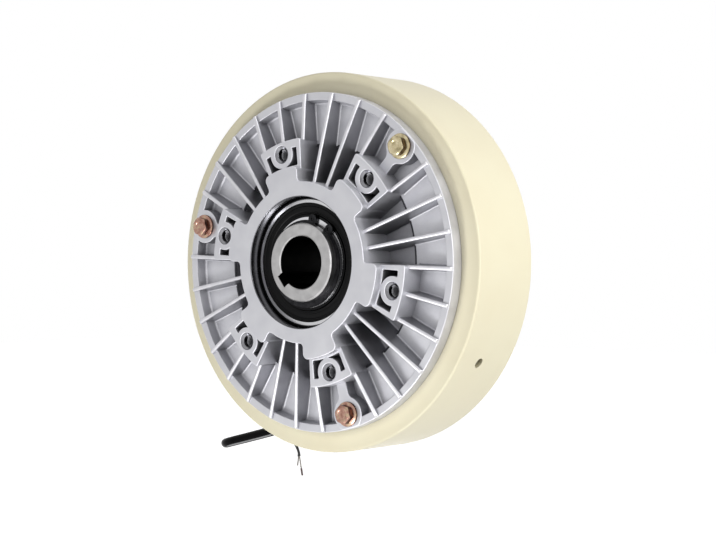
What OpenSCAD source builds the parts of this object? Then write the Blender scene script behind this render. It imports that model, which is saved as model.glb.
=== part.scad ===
// Magnetic powder brake with a hollow shaft.
// The axis runs along Y with the front towards -Y, and the origin is on it in the middle of the yoke.

/* [Field yoke] */
// Outer diameter of the yoke
yoke_d = 219; // [212:1:240]
// Width of the yoke along the axis
yoke_w = 51; // [48:1:64]
// Steel left outside the coil space
yoke_wall = 9.5; // [8:0.5:12]
// Steel left outside the rear pole ring
rear_lip = 5.5; // [4:0.5:7]
// Rounding of the outer edges
yoke_edge = 1.2; // [0.6:0.2:2]
// Radial depth of the coil space
coil_depth = 20; // [16:0.5:22]
// Width of the coil space
coil_w = 22; // [18:1:24]
// Thickness of the non-magnetic ring between the poles
pole_ring_t = 4; // [3:0.5:5]
// Wall of the coil bobbin
bobbin_t = 1.6; // [1:0.2:2.4]

/* [End bracket] */
// Distance of the casting's rim from the rim of the yoke
bracket_inset = 12.1; // [11:0.1:16]
// Height of the outer border over the yoke face
border_h = 8; // [6:0.5:9]
// Width of the outer border
border_w = 4.5; // [3:0.5:6]
// Height of the outer floor over the yoke face
floor_h = 1.5; // [1.2:0.1:2.5]
// Drop from the outer floor to the inner one
floor_drop = 5; // [3:0.5:6]
// Distance from the pole bore in to where the floor drops
step_inset = 9; // [7:0.5:12]
// Thickness of the casting under the inner floor
floor_t = 5; // [4:0.5:6]
// Depth of the spigot in the pole bore
spigot_h = 7.5; // [6:0.5:8]
// Height of the hub face over the yoke face
hub_h = 21; // [20:0.5:24]
// Wall of the hub round the bearing
hub_wall = 8.5; // [7:0.5:9]
// Widening of each cast wall from top to foot
draft = 1.2; // [0.6:0.2:2]

/* [Fins and pads] */
// Angle of the first pad
pad_angle = 46; // [30:1:60]
// Number of pads
pad_count = 6; // [6:1:6]
// Fin spaces from one pad to the next
fin_spaces = 5; // [4:1:6]
// Thickness of a fin at its top
fin_t = 2; // [1.6:0.2:2.6]
// Height of the fins at the hub and of the pads
pad_h = 16.5; // [14:0.5:18]
// Height of the fins at the border
fin_end_h = 9.6; // [9:0.2:12]
// Radial length of a pad outside its hole circle
pad_land = 6.9; // [6:0.1:9]
// Radial distance from the hub lobe to the hole circle
lobe_gap = 9.2; // [8.8:0.1:11]
// Half of the angle that a hub lobe spans
lobe_half = 13.5; // [11:0.5:15]
// Rounding of the lobe corners
lobe_corner = 3.2; // [2.8:0.1:4]
// Half of the angle that the two windows of a pad span
window_half = 10.2; // [9.6:0.1:10.6]
// Depth of metal between a window and the rim of its pad
window_land = 4.8; // [4:0.1:6]

/* [Mounting] */
// Diameter of the circle of tapped holes in the pads
pad_pcd = 128.6; // [126:0.2:132]
// Diameter of those tapped holes
pad_hole_d = 6.8; // [5:0.1:8.5]
// Depth of those tapped holes
pad_hole_depth = 15; // [10:1:17]
// Radius of the boss round each tapped hole
pad_boss_r = 8.3; // [7:0.1:8.6]
// Diameter of the countersunk mouth of those holes
pad_mouth_d = 9.6; // [8.6:0.1:11]
// Diameter of the tapped hole in the side of the yoke
side_hole_d = 6; // [4:0.5:8]
// Depth of that hole
side_hole_depth = 8; // [5:0.5:8]
// Angle of that hole round the axis
side_hole_angle = -30.5; // [-50:0.5:-10]
// Distance of that hole towards the front from the middle of the yoke
side_hole_front = 5; // [0:0.5:6]

/* [Bracket bolts] */
// Number of bolts in each bracket
bolt_count = 3; // [3:1:3]
// Distance of the bolts from the rim of the bracket
bolt_inset = 8.4; // [8:0.1:9]
// Thread diameter of the bolts
bolt_d = 6; // [5:1:6]
// Size across the flats of the bolt heads
bolt_flats = 10; // [8:0.5:10.5]
// Height of the bolt heads
bolt_head_h = 5.2; // [4.5:0.1:6.6]
// Diameter of the flange under each bolt head
bolt_flange_d = 14.2; // [12.6:0.2:15]
// Length of the bolts in the yoke
bolt_grip = 12; // [8:1:12]
// Radius of the boss under each bolt head
bolt_boss_r = 10; // [8.5:0.5:11]

/* [Shaft and bearings] */
// Bore of the hollow shaft
bore_d = 30; // [25:1:32]
// Width of the keyway
key_w = 8; // [6:1:10]
// Depth of the keyway in the bore wall
key_t = 3.3; // [2:0.1:3.6]
// Angle of the keyway round the axis
key_angle = 218; // [0:1:360]
// Outer diameter of the shaft
shaft_d = 45; // [44:0.5:46]
// Distance of the shaft ends behind the hub faces
shaft_inset = 0.4; // [0:0.1:2]
// Chamfer of the shaft ends
shaft_edge = 0.8; // [0.4:0.1:1.2]
// Outer diameter of the bearings
bearing_d = 75; // [74:0.5:78]
// Width of the bearings
bearing_w = 16; // [14:0.5:17]
// Distance of the bearings behind the hub faces
bearing_depth = 7; // [6:0.5:9.5]
// Chamfer of the bearing rings
ring_edge = 0.8; // [0.5:0.1:1]
// Diameter of the balls as a share of the radial room between shaft and bearing seat
ball_share = 0.58; // [0.54:0.01:0.6]
// Number of balls in a bearing
ball_count = 12; // [9:1:13]
// Width of the shaft circlips
clip_w = 1.75; // [1.5:0.05:2]
// Depth of the circlip grooves in the shaft
clip_groove = 1.25; // [1:0.05:1.5]
// Angle of the gap in the circlips
clip_angle = 63.5; // [0:0.5:360]
// Wall of the spacer rings
spacer_wall = 3.5; // [3:0.5:4]

/* [Rotor] */
// Radial gap between the drum and the poles
work_gap = 2; // [1.8:0.1:3]
// Radial thickness of the powder that lies in the gap
powder_t = 1.5; // [1:0.1:1.5]
// Radial thickness of the drum rim
drum_rim_t = 14; // [10:1:15]
// Thickness of the drum web
web_w = 10; // [8:1:12]
// Thickness of the shaft flange
flange_w = 7; // [5:0.5:8]
// Radial length of the shaft flange
flange_len = 16; // [15:0.5:18]
// Thread diameter of the rotor screws
screw_d = 6; // [5:1:6]
// Number of rotor screws
screw_count = 6; // [4:1:8]

/* [Lead] */
// Angle round the axis at which the lead leaves the yoke
lead_angle = 240; // [237:1:243]
// Diameter of the sleeve
sleeve_d = 6.2; // [4.6:0.2:6.4]
// Diameter of each wire
wire_d = 1.6; // [1.2:0.1:1.8]
// Diameter of the bare tip of each wire
tip_d = 0.8; // [0.6:0.1:1]

/* [Clearances] */
// Radial clearance of seated and pressed pieces
fit_c = 0.02; // [0.01:0.01:0.04]
// Clearance of a bolt in its hole in the bracket
bolt_c = 0.4; // [0.3:0.1:0.6]
// Clearance between the balls, their races and their cage
race_c = 0.06; // [0.04:0.01:0.1]
// Clearance of seals from what turns in them
seal_c = 0.3; // [0.25:0.05:0.4]
// Axial clearance between the drum and the brackets
drum_c = 2; // [1.5:0.5:3]

/* [Hidden] */
$fn = 96;
cut = 0.5;
sink = 1;
half_w = yoke_w / 2;
yoke_r = yoke_d / 2;
coil_half = coil_w / 2;
coil_r = yoke_r - yoke_wall;
rear_r = yoke_r - rear_lip;
winding_gap = 1;
bobbin_r = coil_r - coil_depth;
pole_r = bobbin_r - pole_ring_t;
shaft_r = shaft_d / 2;
shaft_half = half_w + hub_h - shaft_inset;

bracket_r = yoke_r - bracket_inset;
border_r = bracket_r - border_w;
step_r = pole_r - step_inset;
seat_r = bearing_d / 2;
hub_r = seat_r + hub_wall;
inner_floor = floor_h - floor_drop;
hub_back = inner_floor - floor_t;
bearing_face = hub_h - bearing_depth;
seat_z = bearing_face - bearing_w;
hub_mouth = 0.8;
border_edge = 0.6;

pad_hole_r = pad_pcd / 2;
pad_r = pad_hole_r + pad_land;
lobe_r = pad_hole_r - lobe_gap;
window_gap = 1;
window_in = lobe_r + window_gap;
window_out = pad_r - window_land;
pad_step = 360 / pad_count;
fin_step = pad_step / fin_spaces;
pad_half = fin_step + asin(fin_t / 2 / pad_r);
pads_per_bolt = pad_count / bolt_count;
bolt_r = bracket_r - bolt_inset;
bolt_step = 360 / bolt_count;
bolt_neck_w = 7;
bolt_boss_rise = 0.3;
bolt_seat = border_h + bolt_boss_rise;
bolt_corner_r = bolt_flats / 2 / cos(30);
bolt_flange_r = bolt_flange_d / 2;
fin_inset = 0.3;

rotor_r = pole_r - work_gap;
drum_half = half_w - spigot_h - drum_c;
drum_in = rotor_r - drum_rim_t;
skirt_r = drum_in - drum_c;
web_half = web_w / 2;
flange_r = shaft_r + flange_len;
flange_back = web_half + flange_w;
screw_head_r = 0.8 * screw_d;
screw_head_h = screw_d;
flange_rim = 1;
screw_r = flange_r - screw_head_r - flange_rim;
screw_step = 360 / screw_count;

pitch_r = (shaft_r + seat_r) / 2;
ball_d = ball_share * (seat_r - shaft_r);
ball_r = ball_d / 2;
shoulder_share = 0.3;
shoulder_gap = shoulder_share * ball_d;
shoulder_in = pitch_r - shoulder_gap;
shoulder_out = pitch_r + shoulder_gap;
seal_rim = 1.6;
seal_r = shoulder_out + seal_rim;
seal_t = 1.4;
seal_set = 0.4;
cage_t = 1.6;
cage_rim = 1;
cage_w = ball_d + 2 * cage_rim;
bearing_mid = bearing_face - bearing_w / 2;
ball_step = 360 / ball_count;

clip_in = shaft_r - clip_groove;
clip_band = 2.6;
clip_out = shaft_r + clip_band;
clip_lug_r = 2.8;
clip_lug_hole_r = 1.1;
clip_lug_half = 15.5;
clip_gap_half = 9;
clip_shift = 0.9;

spacer_r = shaft_r + spacer_wall;
felt_t = 6.5;
felt_r = spacer_r + seal_c + felt_t;

grommet_hole_r = 4.5;
grommet_flange_r = 6.5;
grommet_flange_t = 1.2;
grommet_reach = 2.3;
grommet_lip = 0.8;
lead_tip_r = yoke_r + grommet_reach;
lead_tip = [lead_tip_r * cos(lead_angle), 0, lead_tip_r * sin(lead_angle)];
sleeve_steps = [
    [0, 0, 0], [-1.2, 0, -2], [-2.3, 0, -3.6], [-3.8, 0, -5], [-5.5, 0, -6], [-7.3, 0, -6.7],
    [-14.1, 0, -8.5], [-21.1, 0, -10.3], [-28.1, 0, -12.1], [-34.1, 0, -13.6], [-38.8, 0, -14.8],
    [-43.3, 0.8, -15.9], [-47.2, 3, -16.7], [-50.1, 6.5, -17.1], [-51.6, 10.7, -17.1],
    [-51.6, 15.3, -16.7], [-50.1, 19.5, -15.9], [-47.2, 23, -14.9], [-43.3, 25.2, -13.6],
    [-38.8, 26, -12.4], [-36.1, 26, -11.7], [-34.1, 26, -11.2]
];
wire_a_steps = [
    [0, -1, 0], [3, -1, 0.3], [6, -1, 0.4], [9, -1, 0.3], [12, -1, 0], [15, -1, -0.5],
    [17.8, -0.9, -1.2], [20.3, -0.8, -2.2], [22.5, -0.7, -3.6], [24.5, -0.6, -5.2],
    [26, -0.5, -7.1], [27, -0.5, -9.2], [27.6, -0.4, -11], [27.9, -0.3, -12.9]
];
wire_b_steps = [
    [0, 1, 0], [3, 1, 0.3], [6, 1, 0.4], [9, 1, 0.3], [12, 1, -0.1], [15, 1, -0.8],
    [17.7, 1, -1.8], [20, 1, -3.1], [22, 1, -4.7], [23.8, 1, -6.5], [25.2, 1, -8.5],
    [26.1, 1, -10.3], [26.4, 1, -11.9], [26.1, 1.1, -13.3]
];
tip_a_len = 12.2;
tip_b_len = 6;
sleeve_route = [for (s = sleeve_steps) lead_tip + s];
sleeve_end = sleeve_route[len(sleeve_route) - 1];
wire_a_route = [for (s = wire_a_steps) sleeve_end + s];
wire_b_route = [for (s = wire_b_steps) sleeve_end + s];

// Point at a radius and an angle
function polar(r, angle) = [r * cos(angle), r * sin(angle)];

// Points of an arc round a centre
function arc(centre, r, from, to, steps = 6) =
    [for (i = [0:steps]) centre + polar(r, from + (to - from) * i / steps)];

function unit(v) = v / norm(v);

// Direction of a route at one of its points
function heading(route, i) =
    unit(route[min(i + 1, len(route) - 1)] - route[max(i - 1, 0)]);

// Ring of points round a route, square to it
function tube_ring(route, i, r, sides, level) =
    let (along = heading(route, i), side = unit(cross(level, along)), over = cross(along, side))
    [for (k = [0:sides - 1])
        let (spot = polar(r, 360 * k / sides)) route[i] + side * spot[0] + over * spot[1]];

// Height of a free fin at a radius
function fin_top(r) = pad_h + (fin_end_h - pad_h) * (r - hub_r) / (bracket_r - hub_r);

// Pieces are drawn with the axis on local Z and the front towards local +Z, then turned
module on_axis() {
    rotate([90, 0, 0]) children();
}

// The end pieces start from the face of the yoke
module front_end() {
    on_axis() translate([0, 0, half_w]) children();
}

module rear_end() {
    on_axis() mirror([0, 0, 1]) translate([0, 0, half_w]) children();
}

// Copies round the axis at a radius
module ring_of(count, step, start, r = 0) {
    for (i = [0:count - 1]) rotate([0, 0, start + i * step]) translate([r, 0, 0]) children();
}

// Plane ring
module washer(outer, inner, height) {
    difference() {
        cylinder(h = height, r = outer);
        translate([0, 0, -cut]) cylinder(h = height + 2 * cut, r = inner);
    }
}

// Wedge about the local X direction
module wedge(half, reach) {
    polygon([[0, 0], polar(2 * reach, -half), polar(2 * reach, half)]);
}

// Tube swept along a route
module tube(route, d, sides, level) {
    last = len(route) - 1;
    points = [for (i = [0:last]) each tube_ring(route, i, d / 2, sides, level)];
    walls = [for (i = [0:last - 1]) for (k = [0:sides - 1])
        let (n = (k + 1) % sides)
        [i * sides + k, (i + 1) * sides + k, (i + 1) * sides + n, i * sides + n]];
    start = [for (k = [0:sides - 1]) k];
    end = [for (k = [sides - 1:-1:0]) last * sides + k];
    polyhedron(points, concat([start], walls, [end]));
}

// Straight rod that goes on from the end of a route
module rod_from(route, d, length) {
    last = len(route) - 1;
    along = unit(route[last] - route[last - 1]);
    translate(route[last])
        rotate([0, acos(along[2]), atan2(along[1], along[0])])
            cylinder(h = length, d = d);
}

// Revolved steel of the yoke, open to the rear
module yoke_body() {
    e = yoke_edge;
    rear_arc = arc([yoke_r - e, e - half_w], e, -90, 0);
    front_arc = arc([yoke_r - e, half_w - e], e, 0, 90);
    inside = [
        [pole_r, half_w], [pole_r, coil_half], [coil_r, coil_half],
        [coil_r, -coil_half], [rear_r, -coil_half], [rear_r, -half_w]
    ];
    rotate_extrude() polygon(concat(rear_arc, front_arc, inside));
}

// Tapped holes for the bracket bolts, in the frame of an end
module bolt_holes() {
    ring_of(bolt_count, bolt_step, pad_angle, bolt_r)
        translate([0, 0, -bolt_grip - cut]) cylinder(h = bolt_grip + 2 * cut, d = bolt_d + 2 * fit_c);
}

module field_yoke() {
    color("#e6dfc0") on_axis() difference() {
        yoke_body();
        translate([0, 0, half_w]) bolt_holes();
        rotate([0, 0, side_hole_angle])
            translate([yoke_r - side_hole_depth, 0, side_hole_front])
                rotate([0, 90, 0]) cylinder(h = side_hole_depth + cut, d = side_hole_d);
        rotate([0, 0, lead_angle])
            translate([coil_r - cut, 0, 0])
                rotate([0, 90, 0]) cylinder(h = yoke_wall + 2 * cut, r = grommet_hole_r);
    }
}

module rear_pole_ring() {
    color("#e6dfc0") on_axis() difference() {
        translate([0, 0, -half_w]) washer(rear_r - fit_c, pole_r, half_w - coil_half);
        mirror([0, 0, 1]) translate([0, 0, half_w]) bolt_holes();
    }
}

module pole_gap_ring() {
    color("#c9b06a") on_axis() translate([0, 0, -coil_half]) washer(bobbin_r, pole_r, coil_w);
}

module coil_bobbin() {
    outer = coil_r - fit_c;
    inner = bobbin_r + fit_c;
    color("#d8d2c0") on_axis() rotate_extrude() difference() {
        translate([inner, -coil_half]) square([outer - inner, coil_w]);
        translate([inner + bobbin_t, bobbin_t - coil_half])
            square([outer - inner, coil_w - 2 * bobbin_t]);
    }
}

module coil_winding() {
    inner = bobbin_r + bobbin_t + 2 * fit_c;
    height = coil_w - 2 * bobbin_t - 2 * fit_c;
    color("#b5652d") on_axis() translate([0, 0, -height / 2]) washer(coil_r - winding_gap, inner, height);
}

module magnetic_powder() {
    color("#4b4b4e") on_axis()
        translate([0, 0, -drum_half]) washer(pole_r - fit_c, pole_r - powder_t, 2 * drum_half);
}

// Revolved wall of the bracket: border, floors, hub and bearing seat
module bracket_wall() {
    rotate_extrude() polygon([
        [pole_r - fit_c, 0], [bracket_r, 0], [bracket_r, border_h - border_edge],
        [bracket_r - border_edge, border_h], [border_r, border_h], [border_r - draft, floor_h],
        [step_r, floor_h], [step_r - draft, inner_floor], [hub_r + draft, inner_floor],
        [hub_r, hub_h], [seat_r + hub_mouth, hub_h], [seat_r, hub_h - hub_mouth],
        [seat_r, seat_z], [felt_r, seat_z], [felt_r, hub_back], [skirt_r, hub_back],
        [skirt_r, -spigot_h], [pole_r - fit_c, -spigot_h]
    ]);
}

// One fin along local X, thinner at its top, cut to a profile of radius and height
module fin(profile) {
    foot = fin_t / 2 + draft / 2;
    low = inner_floor - sink;
    intersection() {
        rotate([90, 0, 0]) linear_extrude(height = 4 * fin_t, center = true) polygon(profile);
        rotate([90, 0, 90]) linear_extrude(height = bracket_r)
            polygon([[-foot, low], [foot, low], [fin_t / 2, hub_h], [-fin_t / 2, hub_h]]);
    }
}

// Lower edge of a fin, sunk in the two floors, from the border inwards
function fin_foot(from) = concat(
    [[bracket_r - fin_inset, fin_end_h], [bracket_r - fin_inset, floor_h - sink]],
    from > step_r
        ? [[from, floor_h - sink]]
        : [[step_r, floor_h - sink], [step_r, inner_floor - sink], [from, inner_floor - sink]]
);

module free_fin() {
    start = hub_r - sink;
    fin(concat([[start, fin_top(start)]], fin_foot(start)));
}

// Fin from the rim of a pad to the border
module short_fin() {
    start = pad_r - sink;
    fin(concat([[start, fin_top(start)]], fin_foot(start)));
}

// Hub lobe with round corners
module lobe_outline() {
    inner_r = lobe_r - lobe_corner;
    inner_half = lobe_half - asin(lobe_corner / inner_r);
    intersection() {
        circle(lobe_r);
        wedge(inner_half, lobe_r);
    }
    intersection() {
        circle(inner_r);
        wedge(lobe_half, lobe_r);
    }
    for (side = [-1, 1]) translate(polar(inner_r, side * inner_half)) circle(lobe_corner);
}

// Pad with its boss and the two windows beside it, kept clear of the bolt head
module pad_outline() {
    difference() {
        intersection() {
            circle(pad_r);
            wedge(pad_half, pad_r);
        }
        intersection() {
            difference() {
                circle(window_out);
                circle(window_in);
            }
            wedge(window_half, pad_r);
        }
        translate([bolt_r, 0]) circle(bolt_flange_r + bolt_c);
    }
    intersection() {
        circle(pad_r);
        translate([pad_hole_r, 0]) circle(pad_boss_r);
    }
}

// Boss of a bracket bolt with the neck that joins it to its pad
module bolt_boss_outline() {
    intersection() {
        circle(bracket_r - fin_inset);
        union() {
            translate([bolt_r, 0]) circle(bolt_boss_r);
            translate([pad_r - sink, -bolt_neck_w / 2]) square([bolt_r - pad_r, bolt_neck_w]);
        }
    }
}

// Outline round the hub, raised from a floor that reaches out to a radius
module raised_from(floor, reach, height) {
    translate([0, 0, floor - sink]) linear_extrude(height = height - floor + sink)
        intersection() {
            difference() {
                children();
                circle(hub_r - sink);
            }
            circle(reach);
        }
}

// Outline round the hub, raised from both floors
module raised(height) {
    raised_from(floor_h, bracket_r, height) children();
    raised_from(inner_floor, step_r, height) children();
}

// Finned casting that carries a bearing
module bracket() {
    difference() {
        union() {
            bracket_wall();
            for (i = [0:pad_count - 1]) rotate([0, 0, pad_angle + i * pad_step]) {
                raised(hub_h) lobe_outline();
                raised(pad_h) pad_outline();
                for (side = [-1, 1]) rotate([0, 0, side * fin_step]) short_fin();
                for (k = [2:fin_spaces - 2]) rotate([0, 0, k * fin_step]) free_fin();
                if (i % pads_per_bolt == 0) {
                    translate([0, 0, floor_h - sink])
                        linear_extrude(height = bolt_seat - floor_h + sink) bolt_boss_outline();
                } else {
                    short_fin();
                }
            }
        }
        ring_of(pad_count, pad_step, pad_angle, pad_hole_r) {
            translate([0, 0, pad_h - pad_hole_depth]) cylinder(h = pad_hole_depth + cut, d = pad_hole_d);
            translate([0, 0, pad_h - (pad_mouth_d - pad_hole_d) / 2])
                cylinder(h = (pad_mouth_d - pad_hole_d) / 2, d1 = pad_hole_d, d2 = pad_mouth_d);
        }
        ring_of(bolt_count, bolt_step, pad_angle, bolt_r)
            translate([0, 0, -cut]) cylinder(h = bolt_seat + 2 * cut, d = bolt_d + 2 * bolt_c);
    }
}

module front_bracket() {
    color("#c4c4cb") front_end() bracket();
}

module rear_bracket() {
    color("#c4c4cb") rear_end() bracket();
}

// Hexagon flange bolt with a chamfered, slightly dished head
module hex_bolt() {
    flat_bevel = 0.3;
    bevel = bolt_corner_r - bolt_flats / 2 + flat_bevel;
    dish_r = 0.3 * bolt_flats;
    dish_t = 0.5;
    flange_rim_t = 0.9;
    flange_t = 1.9;
    difference() {
        union() {
            intersection() {
                cylinder(h = bolt_head_h, r = bolt_corner_r, $fn = 6);
                rotate_extrude() polygon([
                    [0, 0], [bolt_corner_r, 0], [bolt_corner_r, bolt_head_h - bevel / 2],
                    [bolt_corner_r - bevel, bolt_head_h], [0, bolt_head_h]
                ]);
            }
            rotate_extrude() polygon([
                [0, 0], [bolt_flange_r, 0], [bolt_flange_r, flange_rim_t], [bolt_flats / 2, flange_t],
                [0, flange_t]
            ]);
        }
        translate([0, 0, bolt_head_h - dish_t])
            cylinder(h = dish_t + cut, r1 = dish_r - dish_t, r2 = dish_r);
    }
    translate([0, 0, -bolt_seat - bolt_grip]) cylinder(h = bolt_seat + bolt_grip + sink, d = bolt_d);
}

module bracket_bolts() {
    ring_of(bolt_count, bolt_step, pad_angle, bolt_r) translate([0, 0, bolt_seat]) hex_bolt();
}

module front_bracket_bolts() {
    color("#c39a5a") front_end() bracket_bolts();
}

module rear_bracket_bolts() {
    color("#c39a5a") rear_end() bracket_bolts();
}

// Revolved shaft with its flange and circlip grooves
module shaft_body() {
    e = shaft_edge;
    groove = half_w + bearing_face;
    bore_r = bore_d / 2;
    rear_half = [
        [bore_r + e, -shaft_half], [shaft_r - e, -shaft_half], [shaft_r, e - shaft_half],
        [shaft_r, -groove - clip_w], [clip_in, -groove - clip_w], [clip_in, -groove],
        [shaft_r, -groove], [shaft_r, -flange_back], [flange_r, -flange_back]
    ];
    front_half = [
        [flange_r, -web_half], [shaft_r, -web_half], [shaft_r, groove], [clip_in, groove],
        [clip_in, groove + clip_w], [shaft_r, groove + clip_w], [shaft_r, shaft_half - e],
        [shaft_r - e, shaft_half], [bore_r + e, shaft_half], [bore_r, shaft_half - e]
    ];
    rotate_extrude() polygon(concat(rear_half, front_half, [[bore_r, e - shaft_half]]));
}

module hollow_shaft() {
    color("#b9babc") on_axis() difference() {
        shaft_body();
        rotate([0, 0, key_angle])
            translate([0, -key_w / 2, -shaft_half - cut])
                cube([bore_d / 2 + key_t, key_w, 2 * shaft_half + 2 * cut]);
        ring_of(screw_count, screw_step, 0, screw_r)
            translate([0, 0, -flange_back - cut])
                cylinder(h = flange_w + 2 * cut, d = screw_d + 2 * fit_c);
    }
}

module rotor_drum() {
    bore_r = shaft_r + fit_c;
    color("#8d9095") on_axis() difference() {
        rotate_extrude() polygon([
            [bore_r, -web_half], [drum_in, -web_half], [drum_in, -drum_half], [rotor_r, -drum_half],
            [rotor_r, drum_half], [drum_in, drum_half], [drum_in, web_half], [bore_r, web_half]
        ]);
        ring_of(screw_count, screw_step, 0, screw_r)
            translate([0, 0, -web_half - cut]) cylinder(h = web_w + 2 * cut, d = screw_d + 2 * bolt_c);
    }
}

// Socket head screw, its head standing on z = 0
module socket_screw(length) {
    difference() {
        cylinder(h = screw_head_h, r = screw_head_r);
        translate([0, 0, screw_head_h / 2]) cylinder(h = screw_head_h, r = screw_d / 2, $fn = 6);
    }
    translate([0, 0, -length]) cylinder(h = length + sink, d = screw_d);
}

module rotor_screws() {
    color("#3a3a3c") on_axis()
        ring_of(screw_count, screw_step, 0, screw_r)
            translate([0, 0, web_half]) socket_screw(web_w + flange_w);
}

// Spacer from the drum or flange out to the bearing
module spacer_ring(from) {
    translate([0, 0, from - half_w]) washer(spacer_r, shaft_r + fit_c, half_w - from + seat_z);
}

module front_spacer_ring() {
    color("#a7a9ac") front_end() spacer_ring(web_half);
}

module rear_spacer_ring() {
    color("#a7a9ac") rear_end() spacer_ring(flange_back);
}

// External circlip with two eyed lugs beside its gap
module circlip() {
    translate([0, 0, bearing_face + fit_c]) rotate([0, 0, clip_angle])
        linear_extrude(height = clip_w - 2 * fit_c) difference() {
            union() {
                translate([-clip_shift, 0]) circle(clip_out);
                for (side = [-1, 1])
                    rotate(side * clip_lug_half) translate([clip_out, 0]) circle(clip_lug_r);
            }
            circle(clip_in + fit_c);
            wedge(clip_gap_half, clip_out);
            for (side = [-1, 1])
                rotate(side * clip_lug_half) translate([clip_out, 0]) circle(clip_lug_hole_r);
        }
}

module front_circlip() {
    color("#262628") front_end() circlip();
}

module rear_circlip() {
    color("#262628") rear_end() circlip();
}

// Felt ring that keeps the powder from the bearing
module felt_seal() {
    translate([0, 0, hub_back]) washer(felt_r - fit_c, spacer_r + seal_c, seat_z - hub_back);
}

module front_felt_seal() {
    color("#5c5a55") front_end() felt_seal();
}

module rear_felt_seal() {
    color("#5c5a55") rear_end() felt_seal();
}

// The bearing pieces are drawn about the middle of the bearing
module at_bearing() {
    translate([0, 0, bearing_mid]) children();
}

// Groove that the balls run in
module race_groove() {
    translate([pitch_r, 0]) circle(ball_r + race_c);
}

module inner_ring() {
    inner = shaft_r + fit_c;
    half = bearing_w / 2;
    at_bearing() rotate_extrude() difference() {
        polygon([
            [inner, ring_edge - half], [inner + ring_edge, -half], [shoulder_in, -half],
            [shoulder_in, half], [inner + ring_edge, half], [inner, half - ring_edge]
        ]);
        race_groove();
    }
}

module outer_ring() {
    seat_t = seal_set + seal_t;
    outer = seat_r - fit_c;
    half = bearing_w / 2;
    at_bearing() rotate_extrude() difference() {
        polygon([
            [shoulder_out, -half], [outer - ring_edge, -half], [outer, ring_edge - half],
            [outer, half - ring_edge], [outer - ring_edge, half], [shoulder_out, half]
        ]);
        race_groove();
        for (side = [-1, 1])
            translate([shoulder_out - cut, side * (bearing_w - seat_t) / 2 - seat_t / 2])
                square([seal_r - shoulder_out + cut, seat_t]);
    }
}

module balls() {
    at_bearing() ring_of(ball_count, ball_step, 0, pitch_r) sphere(ball_r);
}

module cage() {
    at_bearing() difference() {
        translate([0, 0, -cage_w / 2]) washer(pitch_r + cage_t, pitch_r - cage_t, cage_w);
        ring_of(ball_count, ball_step, 0, pitch_r)
            rotate([0, 90, 0]) cylinder(h = 4 * cage_t, r = ball_r + race_c, center = true);
    }
}

module bearing_seals() {
    for (z = [seal_set, bearing_w - seal_set - seal_t])
        translate([0, 0, seat_z + z]) washer(seal_r - fit_c, shoulder_in + seal_c, seal_t);
}

module front_bearing_inner_ring() {
    color("#b4b6b9") front_end() inner_ring();
}

module front_bearing_outer_ring() {
    color("#b4b6b9") front_end() outer_ring();
}

module front_bearing_balls() {
    color("#d0d2d4") front_end() balls();
}

module front_bearing_cage() {
    color("#a08c5a") front_end() cage();
}

module front_bearing_seals() {
    color("#1c1c1d") front_end() bearing_seals();
}

module rear_bearing_inner_ring() {
    color("#b4b6b9") rear_end() inner_ring();
}

module rear_bearing_outer_ring() {
    color("#b4b6b9") rear_end() outer_ring();
}

module rear_bearing_balls() {
    color("#d0d2d4") rear_end() balls();
}

module rear_bearing_cage() {
    color("#a08c5a") rear_end() cage();
}

module rear_bearing_seals() {
    color("#1c1c1d") rear_end() bearing_seals();
}

// Rubber grommet in the side of the yoke, with a flange that tapers to the sleeve
module lead_grommet() {
    neck_r = grommet_hole_r - fit_c;
    color("#202022") on_axis() rotate([0, 0, lead_angle]) rotate([0, 90, 0]) rotate_extrude() polygon([
        [0, coil_r], [neck_r, coil_r], [neck_r, yoke_r], [grommet_flange_r, yoke_r],
        [grommet_flange_r, yoke_r + grommet_flange_t], [sleeve_d / 2 + grommet_lip, lead_tip_r],
        [0, lead_tip_r]
    ]);
}

module lead_sleeve() {
    color("#151516") tube(sleeve_route, sleeve_d, 12, [0, 0, 1]);
}

module lead_wire_a() {
    color("#2b2b2e") tube(wire_a_route, wire_d, 8, [0, 1, 0]);
}

module lead_wire_b() {
    color("#2b2b2e") tube(wire_b_route, wire_d, 8, [0, 1, 0]);
}

module lead_wire_tips() {
    color("#b9b9bb") {
        rod_from(wire_a_route, tip_d, tip_a_len);
        rod_from(wire_b_route, tip_d, tip_b_len);
    }
}

field_yoke();
rear_pole_ring();
pole_gap_ring();
coil_bobbin();
coil_winding();
magnetic_powder();
front_bracket();
rear_bracket();
front_bracket_bolts();
rear_bracket_bolts();
hollow_shaft();
rotor_drum();
rotor_screws();
front_spacer_ring();
rear_spacer_ring();
front_circlip();
rear_circlip();
front_felt_seal();
rear_felt_seal();
front_bearing_inner_ring();
front_bearing_outer_ring();
front_bearing_balls();
front_bearing_cage();
front_bearing_seals();
rear_bearing_inner_ring();
rear_bearing_outer_ring();
rear_bearing_balls();
rear_bearing_cage();
rear_bearing_seals();
lead_grommet();
lead_sleeve();
lead_wire_a();
lead_wire_b();
lead_wire_tips();
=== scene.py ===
"""Dress the magnetic powder brake for a studio picture.

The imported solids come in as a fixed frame. The castings, bolts, seals, threads and the lead are
rebuilt with rounded edges, every solid gets a finish, and the camera stands where the photograph
was taken.
"""
import logging
import math
from dataclasses import dataclass
from enum import Enum
from typing import Mapping, Optional, Sequence

import bmesh
import bpy
from mathutils import Matrix, Vector
from mathutils.geometry import tessellate_polygon


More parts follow.
